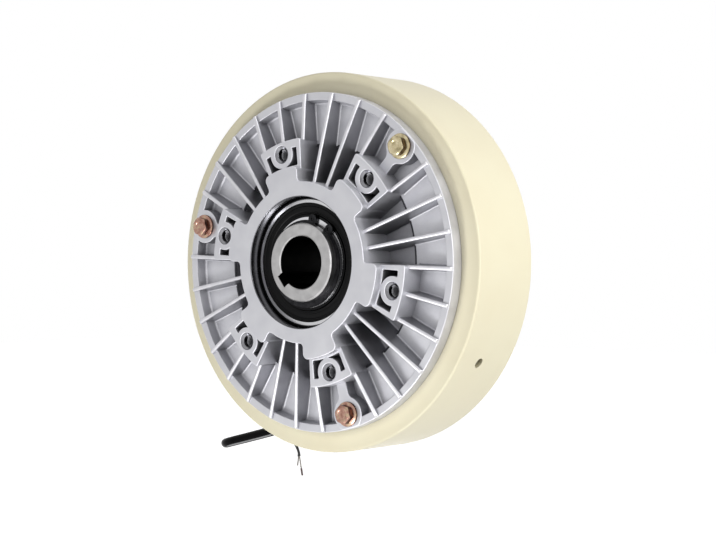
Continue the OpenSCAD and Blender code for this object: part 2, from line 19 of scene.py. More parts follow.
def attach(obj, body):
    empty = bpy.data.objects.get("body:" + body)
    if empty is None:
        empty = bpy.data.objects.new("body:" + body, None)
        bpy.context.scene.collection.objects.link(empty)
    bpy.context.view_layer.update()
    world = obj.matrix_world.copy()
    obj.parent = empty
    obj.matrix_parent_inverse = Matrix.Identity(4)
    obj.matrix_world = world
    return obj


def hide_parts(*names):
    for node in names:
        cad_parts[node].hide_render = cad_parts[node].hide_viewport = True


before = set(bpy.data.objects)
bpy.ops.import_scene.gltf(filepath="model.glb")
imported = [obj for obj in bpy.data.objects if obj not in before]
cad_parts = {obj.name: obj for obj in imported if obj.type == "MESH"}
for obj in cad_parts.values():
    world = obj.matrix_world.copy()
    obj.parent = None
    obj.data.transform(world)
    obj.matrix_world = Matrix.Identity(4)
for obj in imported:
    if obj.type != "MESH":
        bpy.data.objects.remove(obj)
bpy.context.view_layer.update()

MM = 0.001
LOG = logging.getLogger("powder_brake")

Point = tuple[float, float]
Spot = tuple[float, float, float]

# Sizes that the brackets share with their bolts and bearings: the yoke face's distance from the middle,
# the bolts' circle and seat in millimetres, and the angle of the first bolt in degrees
YOKE_FACE = 25.5
BOLT_CIRCLE = 89.0
BOLT_SEAT = 8.3
FIRST_ANGLE = 46.0

ORIGIN = (0.0, 0.0)
# Radius in millimetres of the tiny ring that stands for a point on an axis
POINT_R = 0.05
# Points round a tapped hole, a bearing seat and a casting
HOLE_STEPS = 24
SEAT_STEPS = 144
WALL_STEPS = 180
# Steps in the rounded edge of a plate, and in a small corner
EDGE_STEPS = 4
CORNER_STEPS = 3
# Cosine of half the sharpest turn that an offset line follows in full
SHARPEST = 0.4
# Share of a side that the rounding of one corner may take up
ROUNDING_SHARE = 0.49

# Radians that Blender's wave texture runs through in each unit of length
WAVE_RATE = 20.0
# Where the shade of a noise pattern ends and its main colour starts, and the same for gloss
CLOUD_EDGES = (0.35, 0.65)
GLOSS_EDGES = (0.3, 0.7)
CLOUD_DETAIL = 3.0
GRAIN_DETAIL = 2.0
# Share of open sky below which a corner takes the painted shade in full, and the rays that look for it
FULL_SHADE_BELOW = 0.10
SHADE_RAYS = 8

# Ridge of an inside thread: steps in a turn, and its sizes as shares of the pitch
THREAD_STEPS = 20
THREAD_DEPTH = 0.28
THREAD_FOOT = 0.40
THREAD_CREST = 0.06
# How far in millimetres the ridge's foot sits in the wall of its hole
THREAD_BITE = 0.05


class End(Enum):
    """The two ends of the brake, with the sign of each along the axis."""

    FRONT = -1
    REAR = 1

    @property
    def word(self) -> str:
        """Word that starts the names of this end's nodes."""
        return self.name.lower()


class Face(Enum):
    """Material slots of a new piece, all used on a casting and the first two on a bolt."""

    MAIN = 0
    MACHINED = 1
    RUBBED = 2
    BORED = 3
    STEP_SHADE = 4
    WALL_SHADE = 5
    SEAT = 6


class Wave(Enum):
    """How the fine ridges of a surface run: round the shaft axis, or side by side along it."""

    RINGS = "RINGS"
    BANDS = "BANDS"


def linear(code: str) -> tuple[float, float, float, float]:
    """Turn an sRGB hex colour into a linear one.

    Args:
        code: Colour as "#rrggbb".

    Returns:
        Red, green, blue and alpha for a shader socket.
    """
    parts = [int(code[i:i + 2], 16) / 255 for i in (1, 3, 5)]
    r, g, b = (c / 12.92 if c <= 0.04045 else ((c + 0.055) / 1.055) ** 2.4 for c in parts)
    return r, g, b, 1.0


def per_mm(size: float) -> float:
    """Texture scale at which one feature is that many millimetres wide."""
    return 1 / (size * MM)


def wave_scale(pitch: float) -> float:
    """Wave texture scale at which the ridges are that many millimetres apart."""
    return 2 * math.pi / WAVE_RATE / (pitch * MM)


def add_node(tree: bpy.types.NodeTree, kind: str, values: Optional[dict] = None,
             links: Optional[dict] = None, **settings: object) -> bpy.types.Node:
    """Add a node with its settings, values and links.

    Args:
        tree: Node tree that takes the node.
        kind: Type of the node.
        values: Values of its input sockets, by name or number.
        links: Output sockets that feed its inputs, by name or number.
        settings: Properties of the node itself.

    Returns:
        The new node.
    """
    node = tree.nodes.new(kind)
    for name, value in settings.items():
        setattr(node, name, value)
    for socket, value in (values or {}).items():
        node.inputs[socket].default_value = value
    for socket, source in (links or {}).items():
        tree.links.new(source, node.inputs[socket])
    return node


def set_ramp(node: bpy.types.Node, stops: Sequence[tuple[float, str]]) -> None:
    """Give a colour ramp its stops.

    Args:
        node: Colour ramp.
        stops: Places from 0 to 1, each with a hex colour.
    """
    elements = node.color_ramp.elements
    while len(elements) < len(stops):
        elements.new(0.5)
    for element, (place, code) in zip(elements, stops):
        element.position = place
        element.color = linear(code)


@dataclass
class Surface:
    """A material in the making: its nodes, its shader and the coordinates of its patterns."""

    tree: bpy.types.NodeTree
    shader: bpy.types.Node
    place: bpy.types.NodeSocket

    def feed(self, socket: str, source: bpy.types.NodeSocket) -> None:
        """Link a source to one of the shader's sockets."""
        self.tree.links.new(source, self.shader.inputs[socket])

    def fed(self, socket: str) -> Optional[bpy.types.NodeSocket]:
        """Find what feeds one of the shader's sockets, if anything does."""
        links = self.shader.inputs[socket].links
        return links[0].from_socket if links else None

    def cover(self, share: bpy.types.NodeSocket, code: str) -> None:
        """Lay a colour over the one that is there.

        Args:
            share: How much of each spot it covers, from 0 to 1.
            code: The colour as "#rrggbb".
        """
        # Inputs 6 and 7 of this node are its two colours, and output 2 is their mix
        mixed = add_node(self.tree, "ShaderNodeMix", {7: linear(code)},
                         {0: share, 6: self.fed("Base Color")}, data_type="RGBA")
        self.feed("Base Color", mixed.outputs[2])

    def emboss(self, height: bpy.types.NodeSocket, relief: float) -> None:
        """Raise a pattern on the surface, over any that is there.

        Args:
            height: Pattern from 0 to 1.
            relief: Height of the pattern in millimetres.
        """
        links = {"Height": height}
        under = self.fed("Normal")
        if under is not None:
            links["Normal"] = under
        bump = add_node(self.tree, "ShaderNodeBump", {"Strength": 1.0, "Distance": relief * MM}, links)
        self.feed("Normal", bump.outputs["Normal"])


@dataclass(frozen=True)
class Finish:
    """What a surface is made of and how it was made.

    Fields:
        title: Name of the material.
        colour: Main sRGB colour.
        shade: Second colour, in patches over the first.
        roughness: Middle roughness.
        patch: Size of the patches in millimetres.
        grain: Size of the surface grain in millimetres, coarser than life where that wouldn't show.
        relief: Height of that grain in millimetres.
        metallic: 1 for bare metal, 0 for the rest.
        spread: How far the roughness strays from its middle.
        ior: Index of refraction, the default for a metal.
        specular: Strength of the gloss, 0.5 for a surface free of dust.
        corner_shade: Colour of the painted shade laid into corners, empty for none.
        depth: How far from a wall the painted shade still shows, in millimetres.
        unshaded_above: Share of open sky above which no painted shade is laid.
    """

    title: str
    colour: str
    shade: str
    roughness: float
    patch: float
    grain: float
    relief: float
    metallic: float = 1.0
    spread: float = 0.05
    ior: float = 1.5
    specular: float = 0.5
    corner_shade: str = ""
    depth: float = 16.0
    unshaded_above: float = 0.55

    def material(self) -> bpy.types.Material:
        """Find this finish's material, or make it.

        Returns:
            The material, shared by all pieces with this finish.
        """
        found = bpy.data.materials.get(self.title)
        if found:
            return found
        material = bpy.data.materials.new(self.title)
        material.use_nodes = True
        tree = material.node_tree
        shader = tree.nodes["Principled BSDF"]
        shader.inputs["Metallic"].default_value = self.metallic
        shader.inputs["IOR"].default_value = self.ior
        shader.inputs["Specular IOR Level"].default_value = self.specular
        surface = Surface(tree, shader, add_node(tree, "ShaderNodeTexCoord").outputs["Object"])
        self.dress(surface)
        # Finishes that give a colour for it get painted shade in their corners
        if self.corner_shade:
            self.paint_corner_shade(surface)
        return material

    def dress(self, on: Surface) -> None:
        """Link patches of colour, uneven gloss and grain to the shader.

        Args:
            on: Surface that takes them.
        """
        patches = add_node(on.tree, "ShaderNodeTexNoise",
                           {"Scale": per_mm(self.patch), "Detail": CLOUD_DETAIL}, {"Vector": on.place})
        ramp = add_node(on.tree, "ShaderNodeValToRGB", links={"Fac": patches.outputs["Fac"]})
        set_ramp(ramp, list(zip(CLOUD_EDGES, (self.shade, self.colour))))
        on.feed("Base Color", ramp.outputs["Color"])
        gloss = add_node(on.tree, "ShaderNodeMapRange",
                         {"From Min": GLOSS_EDGES[0], "From Max": GLOSS_EDGES[1],
                          "To Min": self.roughness - self.spread, "To Max": self.roughness + self.spread},
                         {"Value": patches.outputs["Fac"]})
        on.feed("Roughness", gloss.outputs["Result"])
        grains = add_node(on.tree, "ShaderNodeTexNoise",
                          {"Scale": per_mm(self.grain), "Detail": GRAIN_DETAIL}, {"Vector": on.place})
        on.emboss(grains.outputs["Fac"], self.relief)

    def paint_corner_shade(self, on: Surface) -> None:
        """Paint shade into the corners: the less open sky a spot sees, the darker its colour.

        Args:
            on: Surface that takes the painted shade.
        """
        sky = add_node(on.tree, "ShaderNodeAmbientOcclusion", {"Distance": self.depth * MM},
                       samples=SHADE_RAYS)
        shade_share = add_node(on.tree, "ShaderNodeMapRange",
                         {"From Min": FULL_SHADE_BELOW, "From Max": self.unshaded_above, "To Min": 1.0, "To Max": 0.0},
                         {"Value": sky.outputs["AO"]})
        on.cover(shade_share.outputs["Result"], self.corner_shade)


@dataclass(frozen=True)
class Ridged(Finish):
    """Turned metal, moulded rubber or wound wire, with fine ridges about the shaft axis.

    Fields:
        pitch: Distance between the ridges in millimetres, wider than life where that wouldn't show.
        groove: Depth between them in millimetres.
        wave: How they run.
        waver: How far they stray from an even line.
        fray: How finely they stray.
    """

    pitch: float = 0.5
    groove: float = 0.005
    wave: Wave = Wave.RINGS
    waver: float = 1.5
    fray: float = 0.4

    def dress(self, on: Surface) -> None:
        """Add the ridges to the patches and grain.

        Args:
            on: Surface that takes them.
        """
        super().dress(on)
        ridges = add_node(on.tree, "ShaderNodeTexWave",
                          {"Scale": wave_scale(self.pitch), "Distortion": self.waver,
                           "Detail Scale": self.fray}, {"Vector": on.place},
                          wave_type=self.wave.value, rings_direction="Y", bands_direction="Y")
        on.emboss(ridges.outputs["Fac"], self.groove)


@dataclass(frozen=True)
class ShadedBand(Ridged):
    """Turned steel with painted shade on a band of it.

    Fields:
        oil: Colour of the painted shade.
        near: Radius in millimetres at which the painted shade starts.
        far: Radius in millimetres at which it ends.
        half: How far it reaches from the middle along the axis, in millimetres.
    """

    oil: str = "#151413"
    near: float = 0.0
    far: float = 19.0
    half: float = 60.0

    def dress(self, on: Surface) -> None:
        """Lay the painted shade over the turned rings.

        Args:
            on: Surface that takes it.
        """
        super().dress(on)
        flat = add_node(on.tree, "ShaderNodeVectorMath", {1: (1.0, 0.0, 1.0)}, {0: on.place},
                        operation="MULTIPLY")
        radius = add_node(on.tree, "ShaderNodeVectorMath", links={0: flat.outputs[0]}, operation="LENGTH")
        band = add_node(on.tree, "ShaderNodeMath",
                        {1: (self.near + self.far) / 2 * MM, 2: (self.far - self.near) / 2 * MM},
                        {0: radius.outputs["Value"]}, operation="COMPARE")
        axes = add_node(on.tree, "ShaderNodeSeparateXYZ", links={0: on.place})
        within = add_node(on.tree, "ShaderNodeMath", {1: 0.0, 2: self.half * MM}, {0: axes.outputs["Y"]},
                          operation="COMPARE")
        band_share = add_node(on.tree, "ShaderNodeMath", links={0: band.outputs[0], 1: within.outputs[0]},
                        operation="MULTIPLY")
        on.cover(band_share.outputs[0], self.oil)


@dataclass(frozen=True)
class ZincPlate(Finish):
    """Zinc with a yellow passivation film, whose colour drifts from bolt to bolt.

    Fields:
        gold: Colour of the thin film on the bolt at the upper right.
        rose: Colour of the thicker film on the others.
        green: Tint where the film is thickest.
        drift: Size of the colour clouds in millimetres.
        parting: Where rose gives way to gold, as the sum of X and Z in millimetres.
        rose_stops: Places of shade, rose and gold in the clouds on the rose bolts.
        gold_stops: Places of green, gold and the main colour on the gold one.
    """

    gold: str = "#bdb08e"
    rose: str = "#a98577"
    green: str = "#978d6c"
    drift: float = 3.2
    parting: Point = (20.0, 60.0)
    rose_stops: Spot = (0.30, 0.50, 0.80)
    gold_stops: Spot = (0.32, 0.50, 0.75)

    def dress(self, on: Surface) -> None:
        """Lay the film's colours over the grain.

        Args:
            on: Surface that takes them.
        """
        super().dress(on)
        clouds = add_node(on.tree, "ShaderNodeTexNoise",
                          {"Scale": per_mm(self.drift), "Detail": CLOUD_DETAIL}, {"Vector": on.place})
        films = []
        for places, colours in ((self.rose_stops, (self.shade, self.rose, self.gold)),
                                (self.gold_stops, (self.green, self.gold, self.colour))):
            ramp = add_node(on.tree, "ShaderNodeValToRGB", links={"Fac": clouds.outputs["Fac"]})
            set_ramp(ramp, list(zip(places, colours)))
            films.append(ramp.outputs["Color"])
        axes = add_node(on.tree, "ShaderNodeSeparateXYZ", links={0: on.place})
        batch = add_node(on.tree, "ShaderNodeMath", links={0: axes.outputs["X"], 1: axes.outputs["Z"]},
                         operation="ADD")
        side = add_node(on.tree, "ShaderNodeMapRange",
                        {"From Min": self.parting[0] * MM, "From Max": self.parting[1] * MM},
                        {"Value": batch.outputs[0]})
        mixed = add_node(on.tree, "ShaderNodeMix",
                         links={0: side.outputs["Result"], 6: films[0], 7: films[1]}, data_type="RGBA")
        on.feed("Base Color", mixed.outputs[2])


@dataclass(frozen=True)
class HighlightLine(Finish):
    """Smooth plastic with a painted highlight: a pale line along one side.

    Fields:
        highlight_colour: Colour of the painted highlight.
        side: Direction that the highlighted side faces.
        narrow: How closely a spot must face that way, from 0 to 1.
    """

    highlight_colour: str = "#a2a2a4"
    side: Spot = (0.19, -0.645, -0.74)
    narrow: float = 0.97

    def dress(self, on: Surface) -> None:
        """Draw the painted highlight over the plain colour.

        Args:
            on: Surface that takes it.
        """
        super().dress(on)
        normal = add_node(on.tree, "ShaderNodeNewGeometry").outputs["Normal"]
        facing = add_node(on.tree, "ShaderNodeVectorMath", {1: self.side}, {0: normal},
                          operation="DOT_PRODUCT")
        line = add_node(on.tree, "ShaderNodeMapRange", {"From Min": self.narrow, "From Max": 1.0},
                        {"Value": facing.outputs["Value"]})
        on.cover(line.outputs["Result"], self.highlight_colour)


# Cream enamel sprayed on turned steel: an even satin coat with a faint orange peel, and painted shade in its
# corners, as along the bracket's wall
CREAM_ENAMEL = Finish("cream_enamel_sprayed", "#ece5c8", "#eae2c4", roughness=0.42, patch=30.0, grain=1.6,
                      relief=0.010, metallic=0.0, corner_shade="#6f6a58", depth=8.0, unshaded_above=0.80)
# The same enamel run into the side hole: duller, painted a darker cream as shade, and with painted shade that
# darkens it towards the bottom
ENAMEL_IN_HOLE = Finish("cream_enamel_in_hole", "#d6cead", "#cac19d", roughness=0.50, patch=4.0, grain=0.8,
                        relief=0.010, metallic=0.0, corner_shade="#17150d", depth=7.0, unshaded_above=0.52)
# Aluminium pressure casting, shot blasted: pale lilac grey with a fine dull grain and slight clouds, and
# painted shade in its slots and corners
CAST_ALUMINIUM = Finish("aluminium_die_cast_blasted", "#cfcfd3", "#c5c5ca", roughness=0.58, patch=9.0,
                        grain=0.45, relief=0.012, corner_shade="#808084")
# The same aluminium where a lathe faced it: a little smoother, with fine rings drawn coarser than life
FACED_ALUMINIUM = Ridged("aluminium_die_cast_faced", "#c3c3c7", "#bdbdc2", roughness=0.36, patch=12.0,
                         grain=0.40, relief=0.006, spread=0.04, pitch=0.6, groove=0.003)
# The crests of its fins, rubbed in the tumbler: bright lines
RUBBED_ALUMINIUM = Finish("aluminium_die_cast_rubbed", "#cecdd1", "#c4c4c8", roughness=0.46, patch=5.0,
                          grain=0.40, relief=0.008)
# Its tapped holes: smooth enough to mirror what is in them, painted darker than the casting as shade, with
# more painted shade towards the bottom
BORED_ALUMINIUM = Finish("aluminium_die_cast_bored", "#8a8a8e", "#7e7e82", roughness=0.16, patch=6.0,
                         grain=0.40, relief=0.002, spread=0.03, corner_shade="#141415", depth=14.0)
# The seam along the step in its floor: a painted dark line for the shade at the step, dull
STEP_SHADE_ALUMINIUM = Finish("aluminium_die_cast_step_shade", "#4a4a4e", "#3e3e42", roughness=0.60, patch=4.0,
                          grain=0.45, relief=0.012)
# The walls of its fins, drawn along the die: smoother than the blasted floors, painted darker as shade, and
# with painted shade in their corners
WALL_SHADE_ALUMINIUM = Finish("aluminium_die_cast_wall_shade", "#acacb0", "#a2a2a7", roughness=0.46, patch=9.0,
                         grain=0.45, relief=0.008, corner_shade="#727276")
# Its bearing seat, bored: painted dark for the shade in the bore and the black seal that it mirrors, with a
# soft highlight along the wall
SEAT_ALUMINIUM = Finish("aluminium_die_cast_seat_shade", "#747478", "#66666a", roughness=0.24, patch=6.0,
                        grain=0.40, relief=0.0006, spread=0.04)
# Zinc plated steel with a yellow passivation: straw gold, rose and green clouds on a soft metal gloss, with
# painted shade in the bolts' corners
YELLOW_ZINC = ZincPlate("steel_zinc_plated_yellow", "#d2c8aa", "#876053", roughness=0.24, patch=2.5,
                        grain=0.30, relief=0.006, spread=0.06, corner_shade="#3a2018", depth=2.2)
# The flats and rim of the same bolts: the film's colours painted darker as shade, bronze and dark rose, with
# painted shade in their corners
ZINC_FLATS_SHADED = ZincPlate("steel_zinc_plated_flats_shaded", "#7d6e4e", "#3a241c", roughness=0.22, patch=2.5,
                       grain=0.30, relief=0.006, spread=0.06, corner_shade="#24120c", depth=2.2,
                       gold="#574630", rose="#5a3a30", green="#33291a")
# Turned carbon steel: mid grey, fine rings that spread the highlight round the axis
TURNED_STEEL = Ridged("steel_turned", "#c6c6c8", "#b9b9bc", roughness=0.30, patch=7.0, grain=0.35,
                      relief=0.004, pitch=0.55, groove=0.006)
# The shaft of the same steel: a shade darker, with its bore painted dark as shade
SHAFT_STEEL = ShadedBand("steel_turned_hollow", "#b2b1b1", "#a3a2a2", roughness=0.34, patch=5.0, grain=0.35,
                    relief=0.004, pitch=0.9, groove=0.016, half=45.5)
# Ground and hardened bearing steel of the inner ring: bright, with black painted shade on the band where the
# seal lip runs
INNER_RING_STEEL = ShadedBand("bearing_steel_shaded_lip", "#d4d4d6", "#cbcbce", roughness=0.20, patch=9.0,
                         grain=0.30, relief=0.002, spread=0.03, pitch=0.4, groove=0.002,
                         oil="#1b1b1c", near=25.9, far=30.0)
# The outer ring of the same steel, with painted shade on its chamfer: a bright line with a dark rim
OUTER_RING_STEEL = ShadedBand("bearing_steel_shaded_edge", "#cacacc", "#c0c0c3", roughness=0.28, patch=9.0,
                         grain=0.30, relief=0.002, spread=0.03, pitch=0.4, groove=0.002,
                         oil="#262627", near=35.9, far=40.0)
# Polished bearing balls: bright as a mirror
BALL_STEEL = Finish("bearing_steel_polished", "#dcdcde", "#d4d4d7", roughness=0.08, patch=5.0, grain=0.50,
                    relief=0.001, spread=0.02)
# Spring steel blackened and oiled: nearly black, with a soft metal sheen on the stamped edge
BLACK_SPRING = Finish("spring_steel_blackened", "#2e2e30", "#202022", roughness=0.34, patch=2.0, grain=0.30,
                      relief=0.006, spread=0.06)
# Nitrile rubber moulded on a steel insert: black with a dull, even sheen
NITRILE = Ridged("nitrile_rubber_moulded", "#0e0e0f", "#0a0a0b", roughness=0.45, patch=6.0, grain=0.50,
                 relief=0.010, metallic=0.0, spread=0.06, ior=1.52, specular=0.1, pitch=1.3, groove=0.010)
# Soft rubber of the grommet: black and dull, with a fine moulded grain
GROMMET_RUBBER = Finish("rubber_moulded_soft", "#161617", "#101012", roughness=0.55, patch=3.0, grain=0.40,
                        relief=0.020, metallic=0.0, spread=0.06, ior=1.52, specular=0.25)
# Extruded PVC sleeve: deep black and smooth, with a painted highlight, a pale line along the side that faces
# down and to the front
SLEEVE_PVC = HighlightLine("pvc_extruded_black", "#070708", "#050506", roughness=0.20, patch=4.0, grain=1.20,
                     relief=0.012, metallic=0.0, ior=1.53, specular=0.04)
# PVC wire insulation: dark grey, dusty, half gloss
WIRE_PVC = Finish("pvc_wire_insulation", "#2a2a2d", "#1d1d20", roughness=0.40, patch=1.5, grain=0.50,
                  relief=0.010, metallic=0.0, spread=0.06, ior=1.53, specular=0.3)
# Shrunk tube on the end of one wire: dull dark brown
SHRINK_TUBE = Finish("polyolefin_shrunk_tube", "#4a3432", "#3a2827", roughness=0.50, patch=1.0, grain=0.40,
                     relief=0.010, metallic=0.0, spread=0.06)
# Tinned copper strands: pale grey with a slight warm tinge and bright edges
TINNED_COPPER = Finish("copper_strands_tinned", "#948f89", "#6f6963", roughness=0.28, patch=0.8, grain=0.25,
                       relief=0.010, spread=0.06)
# Enamelled copper wire wound in layers: deep orange turns with a varnish gloss
COPPER_WINDING = Ridged("copper_wire_enamelled", "#b5652d", "#94491c", roughness=0.32, patch=5.0, grain=0.50,
                        relief=0.010, spread=0.06, pitch=0.8, groove=0.12, wave=Wave.BANDS, waver=0.3,
                        fray=1.0)
# Moulded nylon bobbin: ivory, half dull
BOBBIN_NYLON = Finish("nylon_moulded", "#d8d2c0", "#cfc8b4", roughness=0.50, patch=6.0, grain=0.60,
                      relief=0.010, metallic=0.0, ior=1.53)
# Stainless ring turned to size: warm grey
STAINLESS = Ridged("stainless_steel_turned", "#c9c6c0", "#bdbab4", roughness=0.30, patch=7.0, grain=0.35,
                   relief=0.004)
# Alloy powder packed in the gap: dark, dull and grainy
IRON_POWDER = Finish("iron_powder_packed", "#59595d", "#3d3d41", roughness=0.70, patch=0.8, grain=0.25,
                     relief=0.060, metallic=0.6, spread=0.08)
# Soft iron drum as turned: darker grey than steel, with coarse rings
DRUM_IRON = Ridged("soft_iron_turned", "#97999d", "#85878b", roughness=0.38, patch=9.0, grain=0.40,
                   relief=0.006, spread=0.06, pitch=0.8, groove=0.010)
# Screws with black oxide: dark blue grey, half gloss
BLACK_OXIDE = Finish("steel_black_oxide", "#3a3a3e", "#2d2d31", roughness=0.38, patch=2.5, grain=0.30,
                     relief=0.006, spread=0.06)
# Machined brass cage: yellow with a soft gloss
CAGE_BRASS = Ridged("brass_machined", "#c7a85c", "#b4944a", roughness=0.30, patch=5.0, grain=0.35,
                    relief=0.004)
# Pressed wool felt: dull grey fibres
WOOL_FELT = Finish("wool_felt_pressed", "#6a6760", "#504d47", roughness=0.95, patch=1.5, grain=0.35,
                   relief=0.150, metallic=0.0, spread=0.04)


class Workshop:
    """A mesh in the making, in millimetres."""

    def __init__(self) -> None:
        """Start with an empty mesh."""
        self.mesh = bmesh.new()
        self.face = Face.MAIN

    def add(self, corners: Sequence[bmesh.types.BMVert]) -> bmesh.types.BMFace:
        """Add a face in the slot that is in use.

        Args:
            corners: Its corners in order.

        Returns:
            The face.
        """
        face = self.mesh.faces.new(corners)
        face.material_index = self.face.value
        return face

    def ring(self, points: Sequence[Sequence[float]]) -> list[bmesh.types.BMVert]:
        """Add the points of one ring."""
        return [self.mesh.verts.new(p) for p in points]

    def skin(self, a: Sequence[bmesh.types.BMVert], b: Sequence[bmesh.types.BMVert],
             marked: Optional[Mapping[int, Face]] = None) -> None:
        """Join two closed rings of the same length with quads.

        Args:
            a: First ring.
            b: Second ring, further along.
            marked: Places in the ring whose quads take another slot.
        """
        count = len(a)
        for i in range(count):
            n = (i + 1) % count
            quad = self.add((a[i], a[n], b[n], b[i]))
            if marked and i in marked:
                quad.material_index = marked[i].value

    def loft(self, rings: Sequence[Sequence[Sequence[float]]], caps: bool = True,
             marked: Optional[Mapping[int, Face]] = None) -> None:
        """Skin a row of closed rings.

        Args:
            rings: Rings of points, all of one length.
            caps: Whether both ends are closed.
            marked: Places in each ring whose quads take another slot.
        """
        made = [self.ring(r) for r in rings]
        for a, b in zip(made, made[1:]):
            self.skin(a, b, marked)
        if caps:
            self.add(list(reversed(made[0])))
            self.add(made[-1])

    def lathe(self, profile: Sequence[Point], steps: int,
              marked: Optional[Mapping[int, Face]] = None) -> None:
        """Turn a closed profile round the local Z axis.

        Args:
            profile: Points of radius and height.
            steps: Number of steps in a full turn.
            marked: Places in the profile that take another slot.
        """
        made = []
        for i in range(steps):
            a = 2 * math.pi * i / steps
            made.append(self.ring([(r * math.cos(a), r * math.sin(a), z) for r, z in profile]))
        for i in range(steps):
            self.skin(made[i], made[(i + 1) % steps], marked)

    def plate(self, outline: Sequence[Point], holes: Sequence[Sequence[Point]], low: float, top: float,
              rounding: float, draft: float, hole_face: Face = Face.MAIN) -> None:
        """Raise an outline to a flat, machined top with a rounded edge and leaning sides.

        Args:
            outline: Outer line, anticlockwise.
            holes: Inner lines, clockwise.
            low: Height of the open underside.
            top: Height of the flat top.
            rounding: Radius of the edge.
            draft: How much wider the foot is than the top.
            hole_face: Slot of the walls of the holes.
        """
        levels = [(draft, low), (0.0, top - rounding)]
        for k in range(1, EDGE_STEPS + 1):
            a = math.pi / 2 * k / EDGE_STEPS
            levels.append((rounding * (math.cos(a) - 1), top - rounding + rounding * math.sin(a)))
        rims = []
        for line, slot in [(outline, Face.MAIN)] + [(hole, hole_face) for hole in holes]:
            self.face = slot
            made = [self.ring([(x, y, z) for x, y in shifted(line, by)]) for by, z in levels]
            for a, b in zip(made, made[1:]):
                self.skin(a, b)
            rims.append(made[-1])
        flat = [v for rim in rims for v in rim]
        self.face = Face.MACHINED
        for corners in tessellate_polygon([[v.co for v in rim] for rim in rims]):
            self.add([flat[i] for i in corners])
        self.face = Face.MAIN

    def finish(self, name: str, place: Matrix, finishes: Sequence[Finish], sharp: float) -> bpy.types.Object:
        """Turn the mesh into an object.

        Args:
            name: Name of the object.
            place: Where the mesh goes in the row frame, in millimetres.
            finishes: Finishes of its material slots.
            sharp: Angle in degrees above which an edge stays sharp.

        Returns:
            The object, with its origin at the frame's.
        """
        self.mesh.transform(Matrix.Scale(MM, 4) @ place)
        bmesh.ops.recalc_face_normals(self.mesh, faces=self.mesh.faces[:])
        data = bpy.data.meshes.new(name)
        self.mesh.to_mesh(data)
        self.mesh.free()
        data.shade_smooth()
        data.set_sharp_from_angle(angle=math.radians(sharp))
        for finish in finishes:
            data.materials.append(finish.material())
        piece = bpy.data.objects.new(name, data)
        bpy.context.scene.collection.objects.link(piece)
        flat = piece.modifiers.new("flat faces stay flat", "WEIGHTED_NORMAL")
        flat.keep_sharp = True
        return piece


def polar(r: float, degrees: float) -> Point:
    """Point at a radius and an angle."""
    a = math.radians(degrees)
    return r * math.cos(a), r * math.sin(a)


def arc(centre: Point, r: float, start: float, end: float, steps: int) -> list[Point]:
    """Points of an arc.

    Args:
        centre: Centre of the arc.
        r: Its radius.
        start: First angle in degrees.
        end: Last angle in degrees.
        steps: Number of steps between them.

    Returns:
        The points from first to last.
    """
    made = [polar(r, start + (end - start) * i / steps) for i in range(steps + 1)]
    return [(centre[0] + x, centre[1] + y) for x, y in made]


def circle(centre: Point, r: float, steps: int) -> list[Point]:
    """Points of a full circle, anticlockwise."""
    return arc(centre, r, 0, 360, steps)[:-1]


def hole_line(centre: Point, r: float, steps: int = HOLE_STEPS) -> list[Point]:
    """Points of a round hole, clockwise."""
    return circle(centre, r, steps)[::-1]


def across(along: Vector) -> tuple[Vector, Vector]:
    """Find two directions that are square to a given one and to each other."""
    side = along.orthogonal().normalized()
    return side, along.cross(side)


def hoop(centre: Vector, side: Vector, over: Vector, r: float, steps: int) -> list[Vector]:
    """Points of a circle in the plane of two directions."""
    return [centre + side * x + over * y for x, y in circle(ORIGIN, r, steps)]


def turned(line: Sequence[Point], degrees: float) -> list[Point]:
    """Turn a line of points round the axis."""
    c, s = polar(1.0, degrees)
    return [(x * c - y * s, x * s + y * c) for x, y in line]


def mirrored(line: Sequence[Point]) -> list[Point]:
    """Mirror a line at its first axis, with its points in reverse."""
    return [(x, -y) for x, y in reversed(line)]


def shifted(line: Sequence[Point], by: float) -> list[Point]:
    """Move a closed line out of its metal, which lies on its left.

    Args:
        line: Points of the line.
        by: Distance in millimetres, negative to move into the metal.

    Returns:
        The moved points.
    """
    moved = []
    count = len(line)
    for i in range(count):
        p, q, n = Vector(line[i - 1]), Vector(line[i]), Vector(line[(i + 1) % count])
        a, b = (q - p).normalized(), (n - q).normalized()
        out = Vector((a.y, -a.x))
        mid = (out + Vector((b.y, -b.x))).normalized()
        moved.append(tuple(q + mid * (by / max(SHARPEST, mid.dot(out)))))
    return moved


def rounded(line: Sequence[Point], radii: Sequence[float], steps: int = EDGE_STEPS) -> list[Point]:
    """Round the corners of a closed line.

    Args:
        line: Corner points.
        radii: Radius at each corner, 0 to leave it sharp.
        steps: Number of steps in each rounding.

    Returns:
        The line with its corners rounded.
    """
    made: list[Point] = []
    count = len(line)
    for i in range(count):
        p, q, n = Vector(line[i - 1]), Vector(line[i]), Vector(line[(i + 1) % count])
        if radii[i] <= 0:
            made.append(tuple(q))
            continue
        a, b = (p - q).normalized(), (n - q).normalized()
        half = a.angle(b) / 2
        most = ROUNDING_SHARE * min((p - q).length, (n - q).length)
        reach = min(radii[i] / math.tan(half), most)
        centre = q + (a + b).normalized() * (reach * math.tan(half) / math.sin(half))
        start, end = q + a * reach - centre, q + b * reach - centre
        sweep = start.angle_signed(end)
        for k in range(steps + 1):
            turn = start.copy()
            turn.rotate(Matrix.Rotation(-sweep * k / steps, 2))
            made.append(tuple(centre + turn))
    return made


